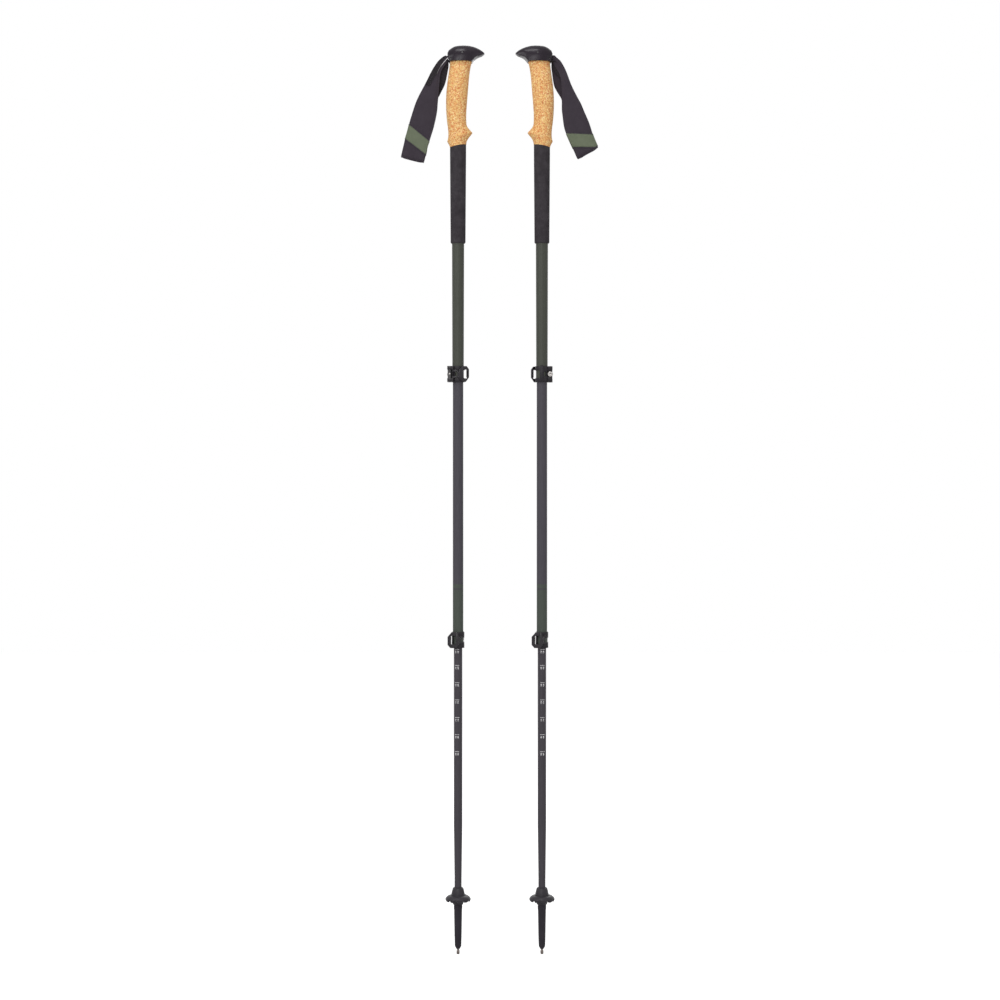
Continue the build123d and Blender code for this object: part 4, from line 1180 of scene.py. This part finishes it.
# %% The tube's radius, and flat text
def tube_radius(node, z):
    """The tube's outer radius at a height, read from the node's own mesh."""
    spots = np.array([v.co for v in nodes[node].data.vertices])
    centre = (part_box(node)[0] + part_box(node)[1]) / 2
    away = np.hypot(spots[:, 0] - centre.x, spots[:, 1] - centre.y)
    steps = sorted({round(float(h), 5) for h in spots[:, 2]})
    rims = [away[np.abs(spots[:, 2] - h) < SAME_HEIGHT].max() for h in steps]
    return float(np.interp(z, steps, rims))


def flat_text(words, size):
    """The spots and faces of some flat text, centred on the origin."""
    data = bpy.data.curves.new("words", "FONT")
    data.body = words
    data.size = size
    data.offset = size * TEXT_BOLD
    data.align_x = "CENTER"
    data.align_y = "CENTER"
    form = bmesh.new()
    form.from_mesh(mesh_of(data))
    long_edges = [e for e in form.edges if e.calc_length() > TEXT_LONG_EDGE * MM]
    bmesh.ops.subdivide_edges(form, edges=long_edges, cuts=2)
    bmesh.ops.triangulate(form, faces=form.faces)
    spots = [v.co.copy() for v in form.verts]
    faces = [tuple(v.index for v in f.verts) for f in form.faces]
    form.free()
    return spots, faces


# %% Length marks
for side, turn in SIDES.items():
    centre_x = turn * GRIP_X * MM
    spots, faces = [], []

    def wrap(across, z):
        """A point on the tube: across is metres round it from the mark's middle."""
        radius = float(np.interp(z, heights, radii)) + INK_LIFT * MM
        angle = math.radians(MARK_AIM[side]) + across / radius
        spots.append((centre_x + radius * math.cos(angle), radius * math.sin(angle), z))

    heights = np.linspace(*MARK_SPAN, RADIUS_STEPS)
    radii = [tube_radius(f"{side}_lower_shaft", h) for h in heights]
    for length, z in MARKS.items():
        first = len(spots)
        for n in range(MARK_STEPS + 1):
            across = (n / MARK_STEPS - 0.5) * MARK_WIDE * MM
            wrap(across, z * MM)
            wrap(across, (z - MARK_TALL) * MM)
        corners = [first + 2 * n for n in range(MARK_STEPS)]
        faces += [(n, n + 1, n + 3, n + 2) for n in corners]
        for shift in (-TEXT_APART, TEXT_APART):
            letters, letter_faces = flat_text(str(length), TEXT_SIZE * MM)
            first = len(spots)
            for letter in letters:
                wrap(shift * MM - letter.y, z * MM - TEXT_BELOW * MM + letter.x)
            faces += [tuple(first + n for n in face) for face in letter_faces]
    mesh = bpy.data.meshes.new(f"{side}_length_marks")
    mesh.from_pydata(spots, [], faces)
    new_piece(f"{side}_length_marks", mesh, f"{side}_lower_section", "lower_carbon", "scale_ink")
    print(side, "marks:", len(faces), "faces")

# %% [markdown]
# ## Camera
# The poles are seen square on from about three metres, so their tips and heads are seen almost
# level. The camera stands at half their height, and its angle just takes in their full length.

# %% Camera
CAMERA_HEIGHT = 0.6496
CAMERA_DISTANCE = 3.0
FRAME_HEIGHT = 1.431
camera_data = bpy.data.cameras.new("camera")
camera_data.sensor_fit = "HORIZONTAL"
camera_data.angle = 2 * math.atan(FRAME_HEIGHT / 2 / CAMERA_DISTANCE)
camera = link("camera", camera_data)
camera.location = (0.0, -CAMERA_DISTANCE, CAMERA_HEIGHT)
camera.rotation_euler = (math.pi / 2, 0.0, 0.0)
bpy.context.scene.camera = camera
bpy.context.scene.view_settings.view_transform = "Standard"
print("camera", CAMERA_DISTANCE, "m away")

# %% [markdown]
# ## Floor, backdrop and light
# A white studio is a pale floor under a white world. The camera sees pure white where nothing
# stands, but the light itself stays plain, so that colours come out as they are written. The
# floor glows a little too, only where the camera sees it directly.

# %% World
WORLD_LIGHT = 0.48
world = bpy.data.worlds.new("studio")
world.use_nodes = True
bpy.context.scene.world = world
sky = world.node_tree
rays = sky.nodes.new("ShaderNodeLightPath")
seen, mirrored, through = (
    Wire(sky, rays.outputs[f"Is {kind} Ray"]) for kind in ("Camera", "Glossy", "Transmission")
)
shown = seen.maths("MAXIMUM", seen, mirrored.maths("MAXIMUM", mirrored, through))
level = shown * (1.0 - WORLD_LIGHT) + WORLD_LIGHT
sky.links.new(level.socket, sky.nodes["Background"].inputs["Strength"])
sky.nodes["Background"].inputs["Color"].default_value = (1.0, 1.0, 1.0, 1.0)
print("world light", WORLD_LIGHT)

# %% Floor
FLOOR_REACH = 6.0
floor_mesh = bpy.data.meshes.new("floor")
corners = [(-1, -1), (1, -1), (1, 1), (-1, 1)]
corners = [(x * FLOOR_REACH, y * FLOOR_REACH, 0) for x, y in corners]
floor_mesh.from_pydata(corners, [], [(0, 1, 2, 3)])
floor = link("floor", floor_mesh)
paper_shader, spot = new_finish("floor_paper", (0.82, 0.82, 0.82), 0.9)
paper_shader.inputs["Emission Strength"].default_value = 1.0
seen_directly = spot.node("LightPath", {}, {})
drive(paper_shader, "Emission Color", seen_directly.mix((0.0, 0.0, 0.0), (0.55, 0.55, 0.55)))
floor_mesh.materials.append(FINISHES["floor_paper"])


# %% Lamps
def soft_lamp(name, place, aim, size, power):
    """Add a square area lamp that looks at a point."""
    data = bpy.data.lights.new(name, "AREA")
    data.size = size
    data.energy = power
    lamp = link(name, data)
    lamp.location = place
    lamp.rotation_euler = (Vector(aim) - Vector(place)).to_track_quat("-Z", "Y").to_euler()


soft_lamp("key", (-2.1, -1.9, 1.9), (0, 0, 0.7), 1.2, 21.0)
soft_lamp("front", (-0.35, -2.9, 1.5), (0, 0, 0.7), 0.9, 18.0)
soft_lamp("fill", (2.2, -1.6, 1.4), (0, 0, 0.6), 1.6, 6.0)
soft_lamp("rim", (0.5, 2.2, 2.0), (0, 0, 0.8), 1.4, 11.0)
soft_lamp("top", (-0.3, -1.1, 3.3), (0, 0, 1.25), 0.7, 18.0)
